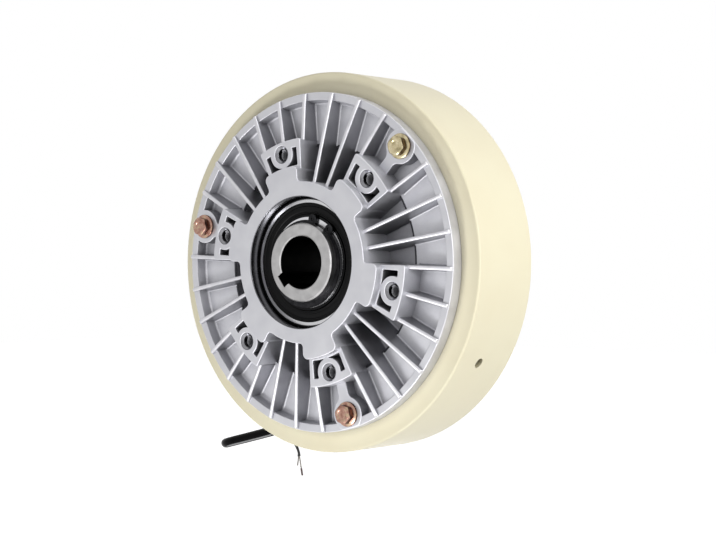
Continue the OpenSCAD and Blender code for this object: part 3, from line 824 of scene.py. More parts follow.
def smooth_route(points: Sequence[Vector], between: int = 4) -> list[Vector]:
    """Draw one smooth line through the points of a route.

    Args:
        points: Points in metres.
        between: Steps from one point to the next.

    Returns:
        Points along the smooth line.
    """
    made = []
    for i in range(len(points) - 1):
        p1, p2 = points[i], points[i + 1]
        p0 = points[i - 1] if i else 2 * p1 - p2
        p3 = points[i + 2] if i + 2 < len(points) else 2 * p2 - p1
        for k in range(between):
            t = k / between
            made.append(0.5 * (2 * p1 + (p2 - p0) * t + (2 * p0 - 5 * p1 + 4 * p2 - p3) * t * t
                               + (3 * p1 - p0 - 3 * p2 + p3) * t ** 3))
    made.append(points[-1])
    return made


def dress_node(name: str, finish: Finish) -> bpy.types.Object:
    """Give a CAD node its finish.

    Args:
        name: Name of the node.
        finish: Its finish.

    Returns:
        The node's object.
    """
    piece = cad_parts[name]
    piece.data.materials.clear()
    piece.data.materials.append(finish.material())
    LOG.info("%s: %s", name, finish.title)
    return piece


def seat(piece: bpy.types.Object, slot: str, *nodes: str) -> bpy.types.Object:
    """Let a new piece ride on the stator in place of CAD nodes.

    Args:
        piece: The piece.
        slot: Material slot; not used.
        nodes: Nodes that it stands for.

    Returns:
        The same piece.
    """
    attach(piece, "stator")
    if nodes:
        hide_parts(*nodes)
    LOG.info("%s: new piece", piece.name)
    return piece


def end_place(end: End, face: float) -> Matrix:
    """Place of an end's local frame, whose Z runs outwards from the yoke face.

    Args:
        end: Which end.
        face: Distance of the yoke face from the middle.

    Returns:
        Matrix from the local frame to the row frame, in millimetres.
    """
    s = end.value
    return Matrix(((1, 0, 0, 0), (0, 0, s, s * face), (0, 1, 0, 0), (0, 0, 0, 1)))


def thread(shop: Workshop, foot: Vector, along: Vector, r: float, pitch: float, length: float) -> None:
    """Wind the ridge of an inside thread.

    Args:
        shop: Mesh that takes it.
        foot: Start of the thread on its axis.
        along: Direction in which it runs.
        r: Radius of the hole's wall.
        pitch: Rise of one turn.
        length: Length of the thread.
    """
    along = along.normalized()
    side, over = across(along)
    crest = r - THREAD_DEPTH * pitch
    section = [(r + THREAD_BITE, -THREAD_FOOT * pitch), (crest, -THREAD_CREST * pitch),
               (crest, THREAD_CREST * pitch), (r + THREAD_BITE, THREAD_FOOT * pitch)]
    rings = []
    for i in range(int(length / pitch * THREAD_STEPS)):
        a = 2 * math.pi * i / THREAD_STEPS
        out = side * math.cos(a) + over * math.sin(a)
        spot = foot + along * (pitch * i / THREAD_STEPS)
        rings.append([spot + out * pr + along * pz for pr, pz in section])
    shop.loft(rings)


@dataclass
class EndBracket:
    """Finned casting that closes one end, with its hub, pads, fins and bolt bosses.

    All sizes are in millimetres and degrees, with heights from the yoke face. The lines of points are
    short profiles, given as steps away from the form that their name starts with.
    """

    end: End
    face: float = YOKE_FACE
    rim_r: float = 97.4
    rim_gap: float = 0.3
    border_h: float = 8.0
    border_w: float = 4.5
    floor_h: float = 1.5
    low_floor: float = -3.5
    step_r: float = 67.0
    seam_w: float = 1.3
    back: float = -8.5
    skirt_r: float = 58.0
    spigot_r: float = 75.98
    spigot_h: float = 7.5
    seat_r: float = 37.5
    seat_z: float = -2.0
    felt_r: float = 32.8
    draft: float = 1.2
    edge: float = 0.45
    plate_edge: float = 0.5
    nick: float = 0.3
    fillet: float = 1.4
    # How far one form runs into the next: hub and pads, fins, and feet under the floor
    lap: float = 2.0
    fin_lap: float = 1.0
    foot_lap: float = 0.5
    hub_h: float = 21.0
    hub_r: float = 46.0
    lobe_r: float = 55.1
    lobe_half: float = 13.5
    lobe_corner: float = 3.2
    lobe_root: float = 2.0
    # Flank of a lobe, as a rise above the hub and a share of the root's angle
    lobe_flank: tuple[Point, ...] = ((2.0, 0.0), (0.6, 0.3), (0.0, 1.0))
    pads: int = 6
    pad_angle: float = FIRST_ANGLE
    pad_h: float = 16.5
    pad_r: float = 71.2
    pad_half: float = 12.8
    pad_corner: float = 1.2
    pad_draft: float = 0.4
    pad_boss_r: float = 8.3
    window_half: float = 10.2
    window_in: float = 56.1
    window_out: float = 66.4
    # Angles of a window: its least from the pad's middle, the start of its foot and the width of its corner
    window_least: float = 1.6
    window_foot: float = 2.4
    window_corner: float = 0.8
    # Radii of a window's corners: two beside the boss, then the outer ones
    window_radii: Spot = (0.3, 0.6, 0.9)
    hole_circle: float = 64.3
    hole_r: float = 3.4
    hole_depth: float = 15.0
    hole_point: float = 1.5
    hole_break: tuple[Point, ...] = ((0.15, 0.1), (0.0, -0.2))
    thread_pitch: float = 1.25
    thread_up: float = 1.0
    thread_short: float = 4.6
    mouth_r: float = 4.8
    mouth_gap: float = 0.25
    mouth_line: tuple[Point, ...] = ((0.8, -0.9), (0.25, -0.5), (0.0, -0.25))
    bolt_r: float = BOLT_CIRCLE
    bolt_seat: float = BOLT_SEAT
    bolt_boss_r: float = 10.0
    bolt_boss_draft: float = 0.3
    bolt_hole_r: float = 3.4
    neck_w: float = 7.0
    neck_blend: tuple[Point, ...] = ((0.2, 0.6), (-1.2, 0.0))
    fin_step: float = 12.0
    fin_t: float = 2.0
    fin_end_h: float = 9.6
    fin_lean: float = 0.6
    fin_nose: float = 1.0
    fin_top: float = 0.8
    fin_root: tuple[Point, ...] = ((1.0, -0.4), (0.9, 0.03), (0.4, 0.25), (0.12, 0.7), (0.0, 1.3))
    # Extra sections of a fin where it crosses the step in the floor, as distances from the step
    fin_at_step: Spot = (-2.6, -0.4, 0.6)
    # Its other sections: equal parts of its length, the least gap between two, and shares of its nose
    fin_parts: int = 6
    fin_apart: float = 1.0
    fin_nose_shares: tuple[float, ...] = (1.0, 0.6, 0.3, 0.1, 0.0)
    # Steps in the arcs of the outlines
    lobe_corner_steps: int = 6
    lobe_steps: int = 10
    hub_steps: int = 12
    pad_steps: int = 12
    window_steps: int = 8
    window_foot_steps: int = 4
    boss_rim_steps: int = 8
    boss_steps: int = 14

    @property
    def pad_angles(self) -> list[float]:
        """Angles of the pads round the axis."""
        return [self.pad_angle + i * 360 / self.pads for i in range(self.pads)]

    def build(self) -> None:
        """Build the casting from its wall, hub, pads, bosses and fins, in place of the CAD node."""
        shop = Workshop()
        self.wall(shop)
        self.hub(shop)
        for i, angle in enumerate(self.pad_angles):
            self.pad(shop, angle)
            for side in (-1, 1):
                self.fin(shop, angle + side * self.fin_step, self.pad_r - self.fin_lap)
            for k in (2, 3):
                self.fin(shop, angle + k * self.fin_step, self.hub_r - self.fin_lap)
            # A bolt boss stands beyond every second pad, and a fin beyond the others
            if i % 2 == 0:
                self.bolt_boss(shop, angle)
            else:
                self.fin(shop, angle, self.pad_r - self.fin_lap)
        slots = [CAST_ALUMINIUM, FACED_ALUMINIUM, RUBBED_ALUMINIUM, BORED_ALUMINIUM, STEP_SHADE_ALUMINIUM,
                 WALL_SHADE_ALUMINIUM, SEAT_ALUMINIUM]
        word = self.end.word
        piece = shop.finish(f"{word}_bracket_casting", end_place(self.end, self.face), slots, sharp=35.0)
        seat(piece, "cast_aluminium", f"{word}_bracket")

    def wall(self, shop: Workshop) -> None:
        """Turn the border, the two floors, the spigot and the bearing seat.

        Args:
            shop: Mesh that takes them.
        """
        inner, step, lap = self.rim_r - self.border_w, self.step_r, self.hub_r - self.lap
        e, f, n, p = self.edge, self.fillet, self.nick, self.plate_edge
        corners = [
            (self.spigot_r, 0.0, 0.0), (self.rim_r, 0.0, n), (self.rim_r, self.border_h, e),
            (inner, self.border_h, e), (inner - self.draft, self.floor_h, f),
            (step + self.seam_w, self.floor_h, 0.0), (step, self.floor_h, e),
            (step - self.draft, self.low_floor, f), (lap, self.low_floor, 0.0),
            (lap, self.seat_z + self.lap, 0.0), (self.seat_r, self.seat_z + self.lap, 0.0),
            (self.seat_r, self.seat_z, n), (self.felt_r, self.seat_z, n), (self.felt_r, self.back, n),
            (self.skirt_r, self.back, p), (self.skirt_r, -self.spigot_h, p),
            (self.spigot_r, -self.spigot_h, p)]
        profile = rounded([(r, z) for r, z, _ in corners], [radius for _, _, radius in corners])
        near = 0.05
        marked = {}
        for i, (r, z) in enumerate(profile):
            if r > inner - e and z > self.border_h - near:
                marked[i] = Face.MACHINED
            # The seam at the step in the floor takes the painted dark line of shade
            elif step - e < r < step + self.seam_w + near and z > self.floor_h - n:
                marked[i] = Face.STEP_SHADE
        shop.lathe(profile, WALL_STEPS, marked)

    def hub(self, shop: Workshop) -> None:
        """Raise the hub with its lobes round the bearing bore.

        Args:
            shop: Mesh that takes it.
        """
        half, corner_r = self.lobe_half, self.lobe_corner
        inner = self.lobe_r - corner_r
        turn = math.degrees(math.asin(corner_r / inner))
        root = math.degrees(self.lobe_root / self.hub_r)
        x, y = polar(inner, half - turn)
        flank = [(self.hub_r + rise, half + share * root) for rise, share in self.lobe_flank]
        lobe = [polar(r, -a) for r, a in reversed(flank)]
        lobe += arc((x, -y), corner_r, -90 - half, -half + turn, self.lobe_corner_steps)
        lobe += arc(ORIGIN, self.lobe_r, turn - half, half - turn, self.lobe_steps)[1:-1]
        lobe += arc((x, y), corner_r, half - turn, 90 + half, self.lobe_corner_steps)
        lobe += [polar(r, a) for r, a in flank[:-1]]
        lobe += arc(ORIGIN, self.hub_r, half + root, 360 / self.pads - half - root, self.hub_steps)[:-1]
        outline = [point for angle in self.pad_angles for point in turned(lobe, angle)]
        bore = hole_line(ORIGIN, self.seat_r, SEAT_STEPS)
        # The bearing seat's wall takes the seat finish, painted dark as shade
        shop.plate(outline, [bore], self.low_floor - self.foot_lap, self.hub_h, self.edge, 0.0, Face.SEAT)

    def pad(self, shop: Workshop, angle: float) -> None:
        """Raise a pad with its two windows and its tapped hole.

        Args:
            shop: Mesh that takes it.
            angle: Angle of the pad round the axis.
        """
        steps, half, corner = self.pad_steps, self.pad_half, self.pad_corner
        outline = [polar(self.hub_r + self.lap, -half)]
        outline += arc(ORIGIN, self.pad_r, -half, half, steps)
        outline += [polar(self.hub_r + self.lap, half)]
        outline = rounded(outline, [0.0, corner] + [0.0] * (steps - 1) + [corner, 0.0])
        window = self.window_line()
        centre = (self.hole_circle, 0.0)
        mouth = hole_line(centre, self.mouth_r + self.mouth_gap)
        holes = [turned(line, angle) for line in (window, mirrored(window), mouth)]
        shop.plate(turned(outline, angle), holes, self.low_floor - self.foot_lap, self.pad_h,
                   self.plate_edge, self.pad_draft)
        self.tapped_hole(shop, turned([centre], angle)[0])

    def window_line(self) -> list[Point]:
        """Line of the window on a pad's left side, clockwise.

        Returns:
            Points round the window, with rounded corners.
        """
        d, p, half, steps = self.hole_circle, self.pad_boss_r, self.window_half, self.window_steps
        line = []
        for i in range(steps + 1):
            r = self.window_in + (self.window_out - self.window_in) * i / steps
            round_boss = math.degrees(math.acos(min(1.0, (r * r + d * d - p * p) / (2 * r * d))))
            line.append(polar(r, max(self.window_least, round_boss)))
        line += arc(ORIGIN, self.window_out, half - self.window_corner, half, 1)
        line += arc(ORIGIN, self.window_in, half, self.window_foot, self.window_foot_steps)
        low, high, outer = self.window_radii
        radii = [low] + [0.0] * (steps - 1) + [high, 0.0, outer, outer] + [0.0] * self.window_foot_steps
        return rounded(line[::-1], radii[::-1], CORNER_STEPS)

    def tapped_hole(self, shop: Workshop, centre: Point) -> None:
        """Line a pad's hole with its countersink, wall, thread and bottom.

        Args:
            shop: Mesh that takes them.
            centre: Centre of the hole.
        """
        bottom = self.pad_h - self.hole_depth
        cone = self.pad_h - (self.mouth_r - self.hole_r)
        levels = [(self.mouth_r + r, self.pad_h + z) for r, z in self.mouth_line]
        levels += [(self.hole_r + r, cone + z) for r, z in self.hole_break]
        levels += [(self.hole_r, bottom), (POINT_R, bottom - self.hole_point)]
        # The countersink and wall take the bored finish, with its painted shade
        shop.face = Face.BORED
        shop.loft([[(x, y, z) for x, y in circle(centre, r, HOLE_STEPS)] for r, z in levels], caps=False)
        shop.face = Face.MAIN
        thread(shop, Vector((*centre, bottom + self.thread_up)), Vector((0, 0, 1)), self.hole_r,
               self.thread_pitch, self.hole_depth - self.thread_short)

    def bolt_boss(self, shop: Workshop, angle: float) -> None:
        """Raise the boss under a bolt head, with the neck to its pad.

        Args:
            shop: Mesh that takes it.
            angle: Angle of the bolt round the axis.
        """
        rim, d, p, half = self.rim_r - self.rim_gap, self.bolt_r, self.bolt_boss_r, self.neck_w / 2
        meet = math.degrees(math.acos((rim * rim - d * d - p * p) / (2 * d * p)))
        away = math.degrees(math.asin(p * math.sin(math.radians(meet)) / rim))
        neck = 180 - math.degrees(math.asin(half / p))
        rim_line = arc(ORIGIN, rim, -away, away, self.boss_rim_steps)[:-1]
        side = arc((d, 0.0), p, meet, neck, self.boss_steps)[:-1]
        side += [(d - p + x, half + y) for x, y in self.neck_blend]
        side += [(self.pad_r - self.fin_lap, half)]
        # The rim line's first point already mirrors the side's first one
        line = rim_line + side + mirrored(side[1:])
        hole = hole_line((d, 0.0), self.bolt_hole_r)
        shop.plate(turned(line, angle), [turned(hole, angle)], self.floor_h - self.foot_lap, self.bolt_seat,
                   self.plate_edge, self.bolt_boss_draft)

    def fin(self, shop: Workshop, angle: float, start: float) -> None:
        """Loft one fin from a radius out to the rim, with a round top and a filleted root.

        Args:
            shop: Mesh that takes it.
            angle: Angle of the fin round the axis.
            start: Radius at which it starts.
        """
        end, nose, parts = self.rim_r - self.rim_gap, self.fin_nose, self.fin_parts
        radii = [start]
        if start < self.step_r:
            radii += sorted(self.step_r + by for by in (*self.fin_at_step, -self.draft))
        between = [start + (end - start) * k / parts for k in range(1, parts)]
        radii += [r for r in between if r > radii[-1] + self.fin_apart]
        radii += [end - share * nose for share in self.fin_nose_shares]
        rings = []
        for r in radii:
            beyond = max(0.0, r - (end - nose)) / nose
            drop = nose * (1 - math.sqrt(max(0.0, 1 - beyond * beyond)))
            rings.append([(*turned([(r, y)], angle)[0], z) for y, z in self.fin_section(r, drop)])
        # Places in the section, counted from one foot over the top to the other. The walls, which take the
        # painted shade, start at the third point of the root, and the crest one place above them
        root = len(self.fin_root)
        last = 2 * (root + EDGE_STEPS)
        marked = dict.fromkeys(range(root + 1, last - root), Face.RUBBED)
        for i in range(2, root):
            marked[i] = marked[last - i] = Face.WALL_SHADE
        shop.loft(rings, marked=marked)

    def fin_section(self, r: float, drop: float) -> list[Point]:
        """Section of a fin at a radius, as width and height.

        Args:
            r: Radius of the section.
            drop: How far its top falls short of the straight line of the fin.

        Returns:
            Points round the section, from one foot over the top to the other.
        """
        slope = (self.fin_end_h - self.pad_h) / (self.rim_r - self.hub_r)
        top = self.pad_h + slope * (r - self.hub_r) - drop
        t = min(1.0, max(0.0, (r - (self.step_r - self.draft)) / self.draft))
        foot = self.low_floor + (self.floor_h - self.low_floor) * t
        lean = self.fin_lean / (self.hub_h - self.low_floor + self.fin_lap)
        half = self.fin_t / 2 + lean * (self.hub_h - top)
        wide = self.fin_t / 2 + lean * (self.hub_h - foot)
        round_r = self.fin_top * half
        side = [(wide + out, foot + up) for out, up in self.fin_root]
        for k in range(EDGE_STEPS + 1):
            a = math.pi / 2 * k / EDGE_STEPS
            side.append((half - round_r + round_r * math.cos(a), top - round_r + round_r * math.sin(a)))
        return side + [(-y, z) for y, z in reversed(side)]


@dataclass
class FieldYoke:
    """Painted ring that holds the coil, with the tapped hole in its side. Sizes in millimetres."""

    yoke_r: float = 109.5
    hole_angle: float = -30.5
    hole_front: float = 5.0
    hole_r: float = 3.0
    hole_depth: float = 8.0
    paint_t: float = 0.06
    bottom_h: float = 0.1
    paint_short: float = 0.6
    thread_t: float = 0.05
    thread_pitch: float = 1.0
    thread_up: float = 1.2
    thread_short: float = 4.0

    def build(self) -> None:
        """Dress the yoke and its inner pieces, and thread the side hole."""
        for name, finish in (("field_yoke", CREAM_ENAMEL), ("rear_pole_ring", CREAM_ENAMEL),
                             ("pole_gap_ring", STAINLESS), ("coil_bobbin", BOBBIN_NYLON),
                             ("coil_winding", COPPER_WINDING), ("magnetic_powder", IRON_POWDER)):
            dress_node(name, finish)
        self.side_thread()

    def side_thread(self) -> None:
        """Line the side hole with enamelled walls, a thread and a bottom, in a finish with painted shade."""
        shop = Workshop()
        x, z = polar(1.0, self.hole_angle)
        out, side = Vector((x, 0, z)), Vector((0, 1, 0))
        over = out.cross(side)
        foot = out * (self.yoke_r - self.hole_depth) + Vector((0, -self.hole_front, 0))
        wall_r = self.hole_r - self.paint_t
        levels = [(POINT_R, self.bottom_h), (wall_r, 2 * self.bottom_h),
                  (wall_r, self.hole_depth - self.paint_short)]
        shop.loft([hoop(foot + out * h, side, over, r, HOLE_STEPS) for r, h in levels], caps=False)
        thread(shop, foot + out * self.thread_up, out, self.hole_r - self.thread_t, self.thread_pitch,
               self.hole_depth - self.thread_short)
        seat(shop.finish("side_hole_thread", Matrix.Identity(4), [ENAMEL_IN_HOLE], sharp=35.0), "cream_paint")


@dataclass
class Bearing:
    """Sealed ball bearing in one bracket.

    Sizes are in millimetres. The two lines run across a seal's outside, as steps from its outer and
    its inner radius and from its outer face.
    """

    end: End
    face: float = YOKE_FACE
    outer_face: float = 14.0
    width: float = 16.0
    seal_out: float = 34.18
    seal_in: float = 27.7
    seal_set: float = 0.4
    seal_t: float = 1.4
    seal_edge: float = 0.15
    bead_line: tuple[Point, ...] = (
        (0.0, -0.25), (-0.5, 0.0), (-1.0, -0.05), (-1.4, -0.42), (-1.9, -0.45), (-2.3, -0.12))
    lip_line: tuple[Point, ...] = (
        (2.0, -0.12), (1.6, -0.36), (1.1, -0.38), (0.7, -0.05), (0.25, -0.05), (0.0, -0.3))

    def build(self) -> None:
        """Dress the rings, balls and cage, and mould the two seals."""
        for name, finish in (("inner_ring", INNER_RING_STEEL), ("outer_ring", OUTER_RING_STEEL),
                             ("balls", BALL_STEEL), ("cage", CAGE_BRASS)):
            dress_node(f"{self.end.word}_bearing_{name}", finish)
        self.seals()

    def seals(self) -> None:
        """Mould both seals, each with a rim bead, a dished web and a lip."""
        shop = Workshop()
        middle = self.outer_face - self.width / 2
        reach = self.width / 2 - self.seal_set
        face = [(self.seal_out + r, z) for r, z in self.bead_line]
        face += [(self.seal_in + r, z) for r, z in self.lip_line]
        back = [(self.seal_in, -self.seal_t), (self.seal_out, -self.seal_t)]
        radii = [self.seal_edge] * len(face) + [0.0] * len(back)
        for side in (-1, 1):
            line = [(r, middle + side * (reach + z)) for r, z in face + back]
            shop.lathe(rounded(line, radii, CORNER_STEPS), SEAT_STEPS)
        word = self.end.word
        piece = shop.finish(f"{word}_bearing_seal_pair", end_place(self.end, self.face), [NITRILE],
                            sharp=50.0)
        seat(piece, "seal_rubber", f"{word}_bearing_seals")


@dataclass
class ShaftAndRotor:
    """Hollow shaft with its drum, screws, spacers and circlips. Sizes in millimetres and degrees."""

    clip_edge: float = 0.25
    clip_join: float = 0.002
    clip_corner: float = 30.0
    clip_steps: int = 2

    def build(self) -> None:
        """Dress the turning pieces and the felt seals beside them."""
        dress_node("hollow_shaft", SHAFT_STEEL)
        dress_node("rotor_drum", DRUM_IRON)
        dress_node("rotor_screws", BLACK_OXIDE)
        for end in End:
            dress_node(f"{end.word}_spacer_ring", TURNED_STEEL)
            self.soften(dress_node(f"{end.word}_circlip", BLACK_SPRING))
            dress_node(f"{end.word}_felt_seal", WOOL_FELT)

    def soften(self, clip: bpy.types.Object) -> None:
        """Round the stamped edges of a circlip.

        Args:
            clip: The circlip.
        """
        weld = clip.modifiers.new("join the faces", "WELD")
        weld.merge_threshold = self.clip_join * MM
        soft = clip.modifiers.new("soften the edges", "BEVEL")
        soft.width = self.clip_edge * MM
        soft.segments = self.clip_steps
        soft.limit_method = "ANGLE"
        soft.angle_limit = math.radians(self.clip_corner)
        soft.harden_normals = True


@dataclass
class BracketBolts:
    """Hexagon flange bolts that hold one bracket.

    Sizes are in millimetres and degrees. The lines are steps from the radius that their name starts
    with and from the top of the head, and the flange's are heights above its seat.
    """

    end: End
    face: float = YOKE_FACE
    circle_r: float = BOLT_CIRCLE
    first: float = FIRST_ANGLE
    count: int = 3
    steps: int = 72
    seat_z: float = BOLT_SEAT
    flats: float = 10.0
    flats_foot: float = 1.2
    corner_r: float = 5.55
    chamfer: float = 32.0
    head_h: float = 5.2
    flange_r: float = 7.1
    flange_line: tuple[Point, ...] = (
        (-0.2, 0.0), (0.0, 0.2), (0.0, 0.65), (-0.1, 0.85), (-0.35, 1.0))
    flange_top: float = 1.85
    chamfer_line: tuple[Point, ...] = ((0.0, -0.08), (-0.1, 0.02))
    top_r: float = 4.55
    top_line: tuple[Point, ...] = ((0.12, -0.06), (-0.15, 0.0))
    dish_r: float = 3.0
    dish_line: tuple[Point, ...] = ((0.25, 0.0), (0.0, -0.08), (-0.5, -0.42))
    dish_depth: float = 0.5
    shank_r: float = 3.0
    shank_len: float = 20.3

    def build(self) -> None:
        """Build the bolts, in place of the CAD node."""
        shop = Workshop()
        for i in range(self.count):
            angle = self.first + 360 / self.count * i
            self.flange(shop, angle)
            self.head(shop, angle)
        name = f"{self.end.word}_bracket_bolts"
        piece = shop.finish(f"{name}_plated", end_place(self.end, self.face), [YELLOW_ZINC, ZINC_FLATS_SHADED],
                            sharp=24.0)
        seat(piece, "yellow_zinc", name)

    def flange(self, shop: Workshop, angle: float) -> None:
        """Build a bolt's shank and its flange, whose top has the thin film and whose rim the film painted
        darker as shade.

        Args:
            shop: Mesh that takes them.
            angle: Angle of the bolt round the axis.
        """
        line = [(POINT_R, -self.shank_len), (self.shank_r, -self.shank_len), (self.shank_r, 0.0)]
        line += [(self.flange_r + r, z) for r, z in self.flange_line]
        line += [(self.top_r, self.flange_top)]
        centre = polar(self.circle_r, angle)
        rings = [[(x, y, self.seat_z + z) for x, y in circle(centre, r, self.steps)] for r, z in line]
        # The thin film starts on the last three rings, and the rings before take the painted shade
        rim = len(rings) - 3
        shop.loft(rings[rim:])
        shop.face = Face.MACHINED
        shop.loft(rings[:rim + 1])
        shop.face = Face.MAIN

    def head(self, shop: Workshop, angle: float) -> None:
        """Build a bolt's chamfered hexagon with its dished top.

        Args:
            shop: Mesh that takes it.
            angle: Angle of the bolt round the axis.
        """
        turns = [360 * k / self.steps for k in range(self.steps)]
        edge = [self.hexagon(t - angle) for t in turns]
        slope = math.tan(math.radians(self.chamfer))
        fall = [self.head_h - (r - self.top_r) * slope for r in edge]
        lines = [[(r, self.flats_foot) for r in edge]]
        lines += [[(r + out, z + up) for r, z in zip(edge, fall)] for out, up in self.chamfer_line]
        top = [(self.top_r + r, z) for r, z in self.top_line]
        top += [(self.dish_r + r, z) for r, z in self.dish_line] + [(POINT_R, -self.dish_depth)]
        lines += [[(r, self.head_h + z)] * self.steps for r, z in top]
        x, y = polar(self.circle_r, angle)
        rings = [[(x + polar(r, t)[0], y + polar(r, t)[1], self.seat_z + z) for t, (r, z) in zip(turns, line)]
                 for line in lines]
        # The hexagon's flats take the film painted darker as shade
        shop.face = Face.MACHINED
        shop.loft(rings[:2], caps=False)
        shop.face = Face.MAIN
        shop.loft(rings[1:], caps=False)

    def hexagon(self, degrees: float) -> float:
        """Radius of the head's blunted hexagon at an angle from one of its corners."""
        return min(self.corner_r, self.flats / 2 / math.cos(math.radians(degrees % 60 - 30)))


@dataclass
class Lead:
    """Two-wire lead that leaves the yoke through a grommet.

    Sizes are in millimetres. The steps are each route's points, from where the sleeve leaves the
    grommet and from where the wires leave the sleeve.
    """

    tip_r: float = 111.8
    angle: float = 240.0
    sleeve_d: float = 6.2
    wire_d: float = 1.6
    cord_rounding: int = 6
    tip_d: float = 0.8
    tip_lengths: Point = (12.2, 6.0)
    tip_lap: float = 0.5
    strands_round: int = 6
    strand_lay: float = 6.0
    strand_steps: int = 28
    strand_sides: int = 6
    wrap_len: float = 4.4
    wrap_back: float = 4.6
    wrap_sides: int = 16
    # The tube's outside, as steps from the strands' radius and from its start or its end
    wrap_start: tuple[Point, ...] = ((0.0, 0.0), (0.18, 0.1), (0.22, 0.5))
    wrap_waist: float = 0.2
    wrap_end: tuple[Point, ...] = ((0.22, -0.4), (0.12, -0.05))
    sleeve_steps: tuple[Spot, ...] = (
        (0, 0, 0), (-1.2, 0, -2), (-2.3, 0, -3.6), (-3.8, 0, -5), (-5.5, 0, -6), (-7.3, 0, -6.7),
        (-14.1, 0, -8.5), (-21.1, 0, -10.3), (-28.1, 0, -12.1), (-34.1, 0, -13.6), (-38.8, 0, -14.8),
        (-43.3, 0.8, -15.9), (-47.2, 3, -16.7), (-50.1, 6.5, -17.1), (-51.6, 10.7, -17.1),
        (-51.6, 15.3, -16.7), (-50.1, 19.5, -15.9), (-47.2, 23, -14.9), (-43.3, 25.2, -13.6),
        (-38.8, 26, -12.4), (-36.1, 26, -11.7), (-34.1, 26, -11.2))
    wire_steps: tuple[tuple[Spot, ...], ...] = (
        ((0, -1, 0), (3, -1, 0.3), (6, -1, 0.4), (9, -1, 0.3), (12, -1, 0), (15, -1, -0.5),
         (17.8, -0.9, -1.2), (20.3, -0.8, -2.2), (22.5, -0.7, -3.6), (24.5, -0.6, -5.2),
         (26, -0.5, -7.1), (27, -0.5, -9.2), (27.6, -0.4, -11), (27.9, -0.3, -12.9)),
        ((0, 1, 0), (3, 1, 0.3), (6, 1, 0.4), (9, 1, 0.3), (12, 1, -0.1), (15, 1, -0.8),
         (17.7, 1, -1.8), (20, 1, -3.1), (22, 1, -4.7), (23.8, 1, -6.5), (25.2, 1, -8.5),
         (26.1, 1, -10.3), (26.4, 1, -11.9), (26.1, 1.1, -13.3)))

    def build(self) -> None:
        """Lay the sleeve, its two wires and their bare tips."""
        dress_node("lead_grommet", GROMMET_RUBBER)
        x, z = polar(self.tip_r, self.angle)
        start = Vector((x, 0, z))
        end = start + Vector(self.sleeve_steps[-1])
        sleeve = smooth_route([(start + Vector(s)) * MM for s in self.sleeve_steps])
        self.cord("lead_sleeve", sleeve, self.sleeve_d, SLEEVE_PVC, "sleeve_plastic")
        tips = [self.bare_tip(0, end, "lead_wire_tips"), self.bare_tip(1, end)]
        for letter, steps, tip in zip("ab", self.wire_steps, tips):
            route = smooth_route([(end + Vector(s)) * MM for s in steps])
            self.cord(f"lead_wire_{letter}", route, self.wire_d, WIRE_PVC, "wire_plastic")

    def cord(self, node: str, route: Sequence[Vector], d: float, finish: Finish, slot: str) -> None:
        """Args:
            node: CAD node that it stands for.
            route: Points in metres.
            d: Diameter in millimetres.
            finish: Its finish.
            slot: Material slot, passed on to seat.
        """
        name = f"{node}_cord"
        curve = bpy.data.curves.new(name, "CURVE")
        curve.dimensions = "3D"
        curve.bevel_depth = d / 2 * MM
        curve.bevel_resolution = self.cord_rounding
        curve.use_fill_caps = True
        spline = curve.splines.new("POLY")
        spline.points.add(len(route) - 1)
        for point, spot in zip(spline.points, route):
            point.co = (*spot, 1.0)
        spline.use_smooth = True
        curve.materials.append(finish.material())
        piece = bpy.data.objects.new(name, curve)
        bpy.context.scene.collection.objects.link(piece)
        seat(piece, slot, node)

    def bare_tip(self, wire: int, end: Vector, *nodes: str) -> list[bpy.types.Object]:
        """Twist the bare strands of a wire, and shrink a tube on those of the first one.

        Args:
            wire: Number of the wire.
            end: Where the wires leave the sleeve.
            nodes: CAD node that the strands stand for.

        Returns:
            The pieces on the end of the wire.
        """
        letter, length = "ab"[wire], self.tip_lengths[wire]
        before, last = (Vector(s) for s in self.wire_steps[wire][-2:])
        foot, along = end + last, (last - before).normalized()
        shop = Workshop()
        self.strands(shop, foot - along * self.tip_lap, along, length + self.tip_lap)
        tip = shop.finish(f"lead_tip_{letter}_strands", Matrix.Identity(4), [TINNED_COPPER], sharp=60.0)
        pieces = [seat(tip, "tinned_copper", *nodes)]
        if wire == 0:
            shop = Workshop()
            self.wrap(shop, foot + along * (length - self.wrap_back), along, self.wrap_len)
            tube = shop.finish("lead_tip_a_wrap", Matrix.Identity(4), [SHRINK_TUBE], sharp=50.0)
            pieces.append(seat(tube, "wire_plastic"))
        return pieces

    def strands(self, shop: Workshop, foot: Vector, along: Vector, length: float) -> None:
        """Twist strands round a middle one.

        Args:
            shop: Mesh that takes them.
            foot: Where they start.
            along: Direction in which they run.
            length: Their length.
        """
        side, over = across(along)
        # Three strands lie across the tip
        r, count = self.tip_d / 6, self.strands_round
        for k in range(count + 1):
            ring_r = 2 * r if k < count else 0.0
            rings = []
            for i in range(self.strand_steps + 1):
                t = i / self.strand_steps
                a = 2 * math.pi * (k / count + length * t / self.strand_lay)
                centre = foot + along * (length * t) + (side * math.cos(a) + over * math.sin(a)) * ring_r
                rings.append(hoop(centre, side, over, r, self.strand_sides))
            shop.loft(rings)

    def wrap(self, shop: Workshop, foot: Vector, along: Vector, length: float) -> None:
        """Shrink a short tube over the strands.

        Args:
            shop: Mesh that takes it.
            foot: Where it starts.
            along: Direction in which it runs.
            length: Its length.
        """
        side, over = across(along)
        r = self.tip_d / 2
        line = [(r + out, h) for out, h in self.wrap_start] + [(r + self.wrap_waist, length / 2)]
        line += [(r + out, length + h) for out, h in self.wrap_end] + [(POINT_R, length)]
        shop.loft([hoop(foot + along * h, side, over, ring_r, self.wrap_sides) for ring_r, h in line])


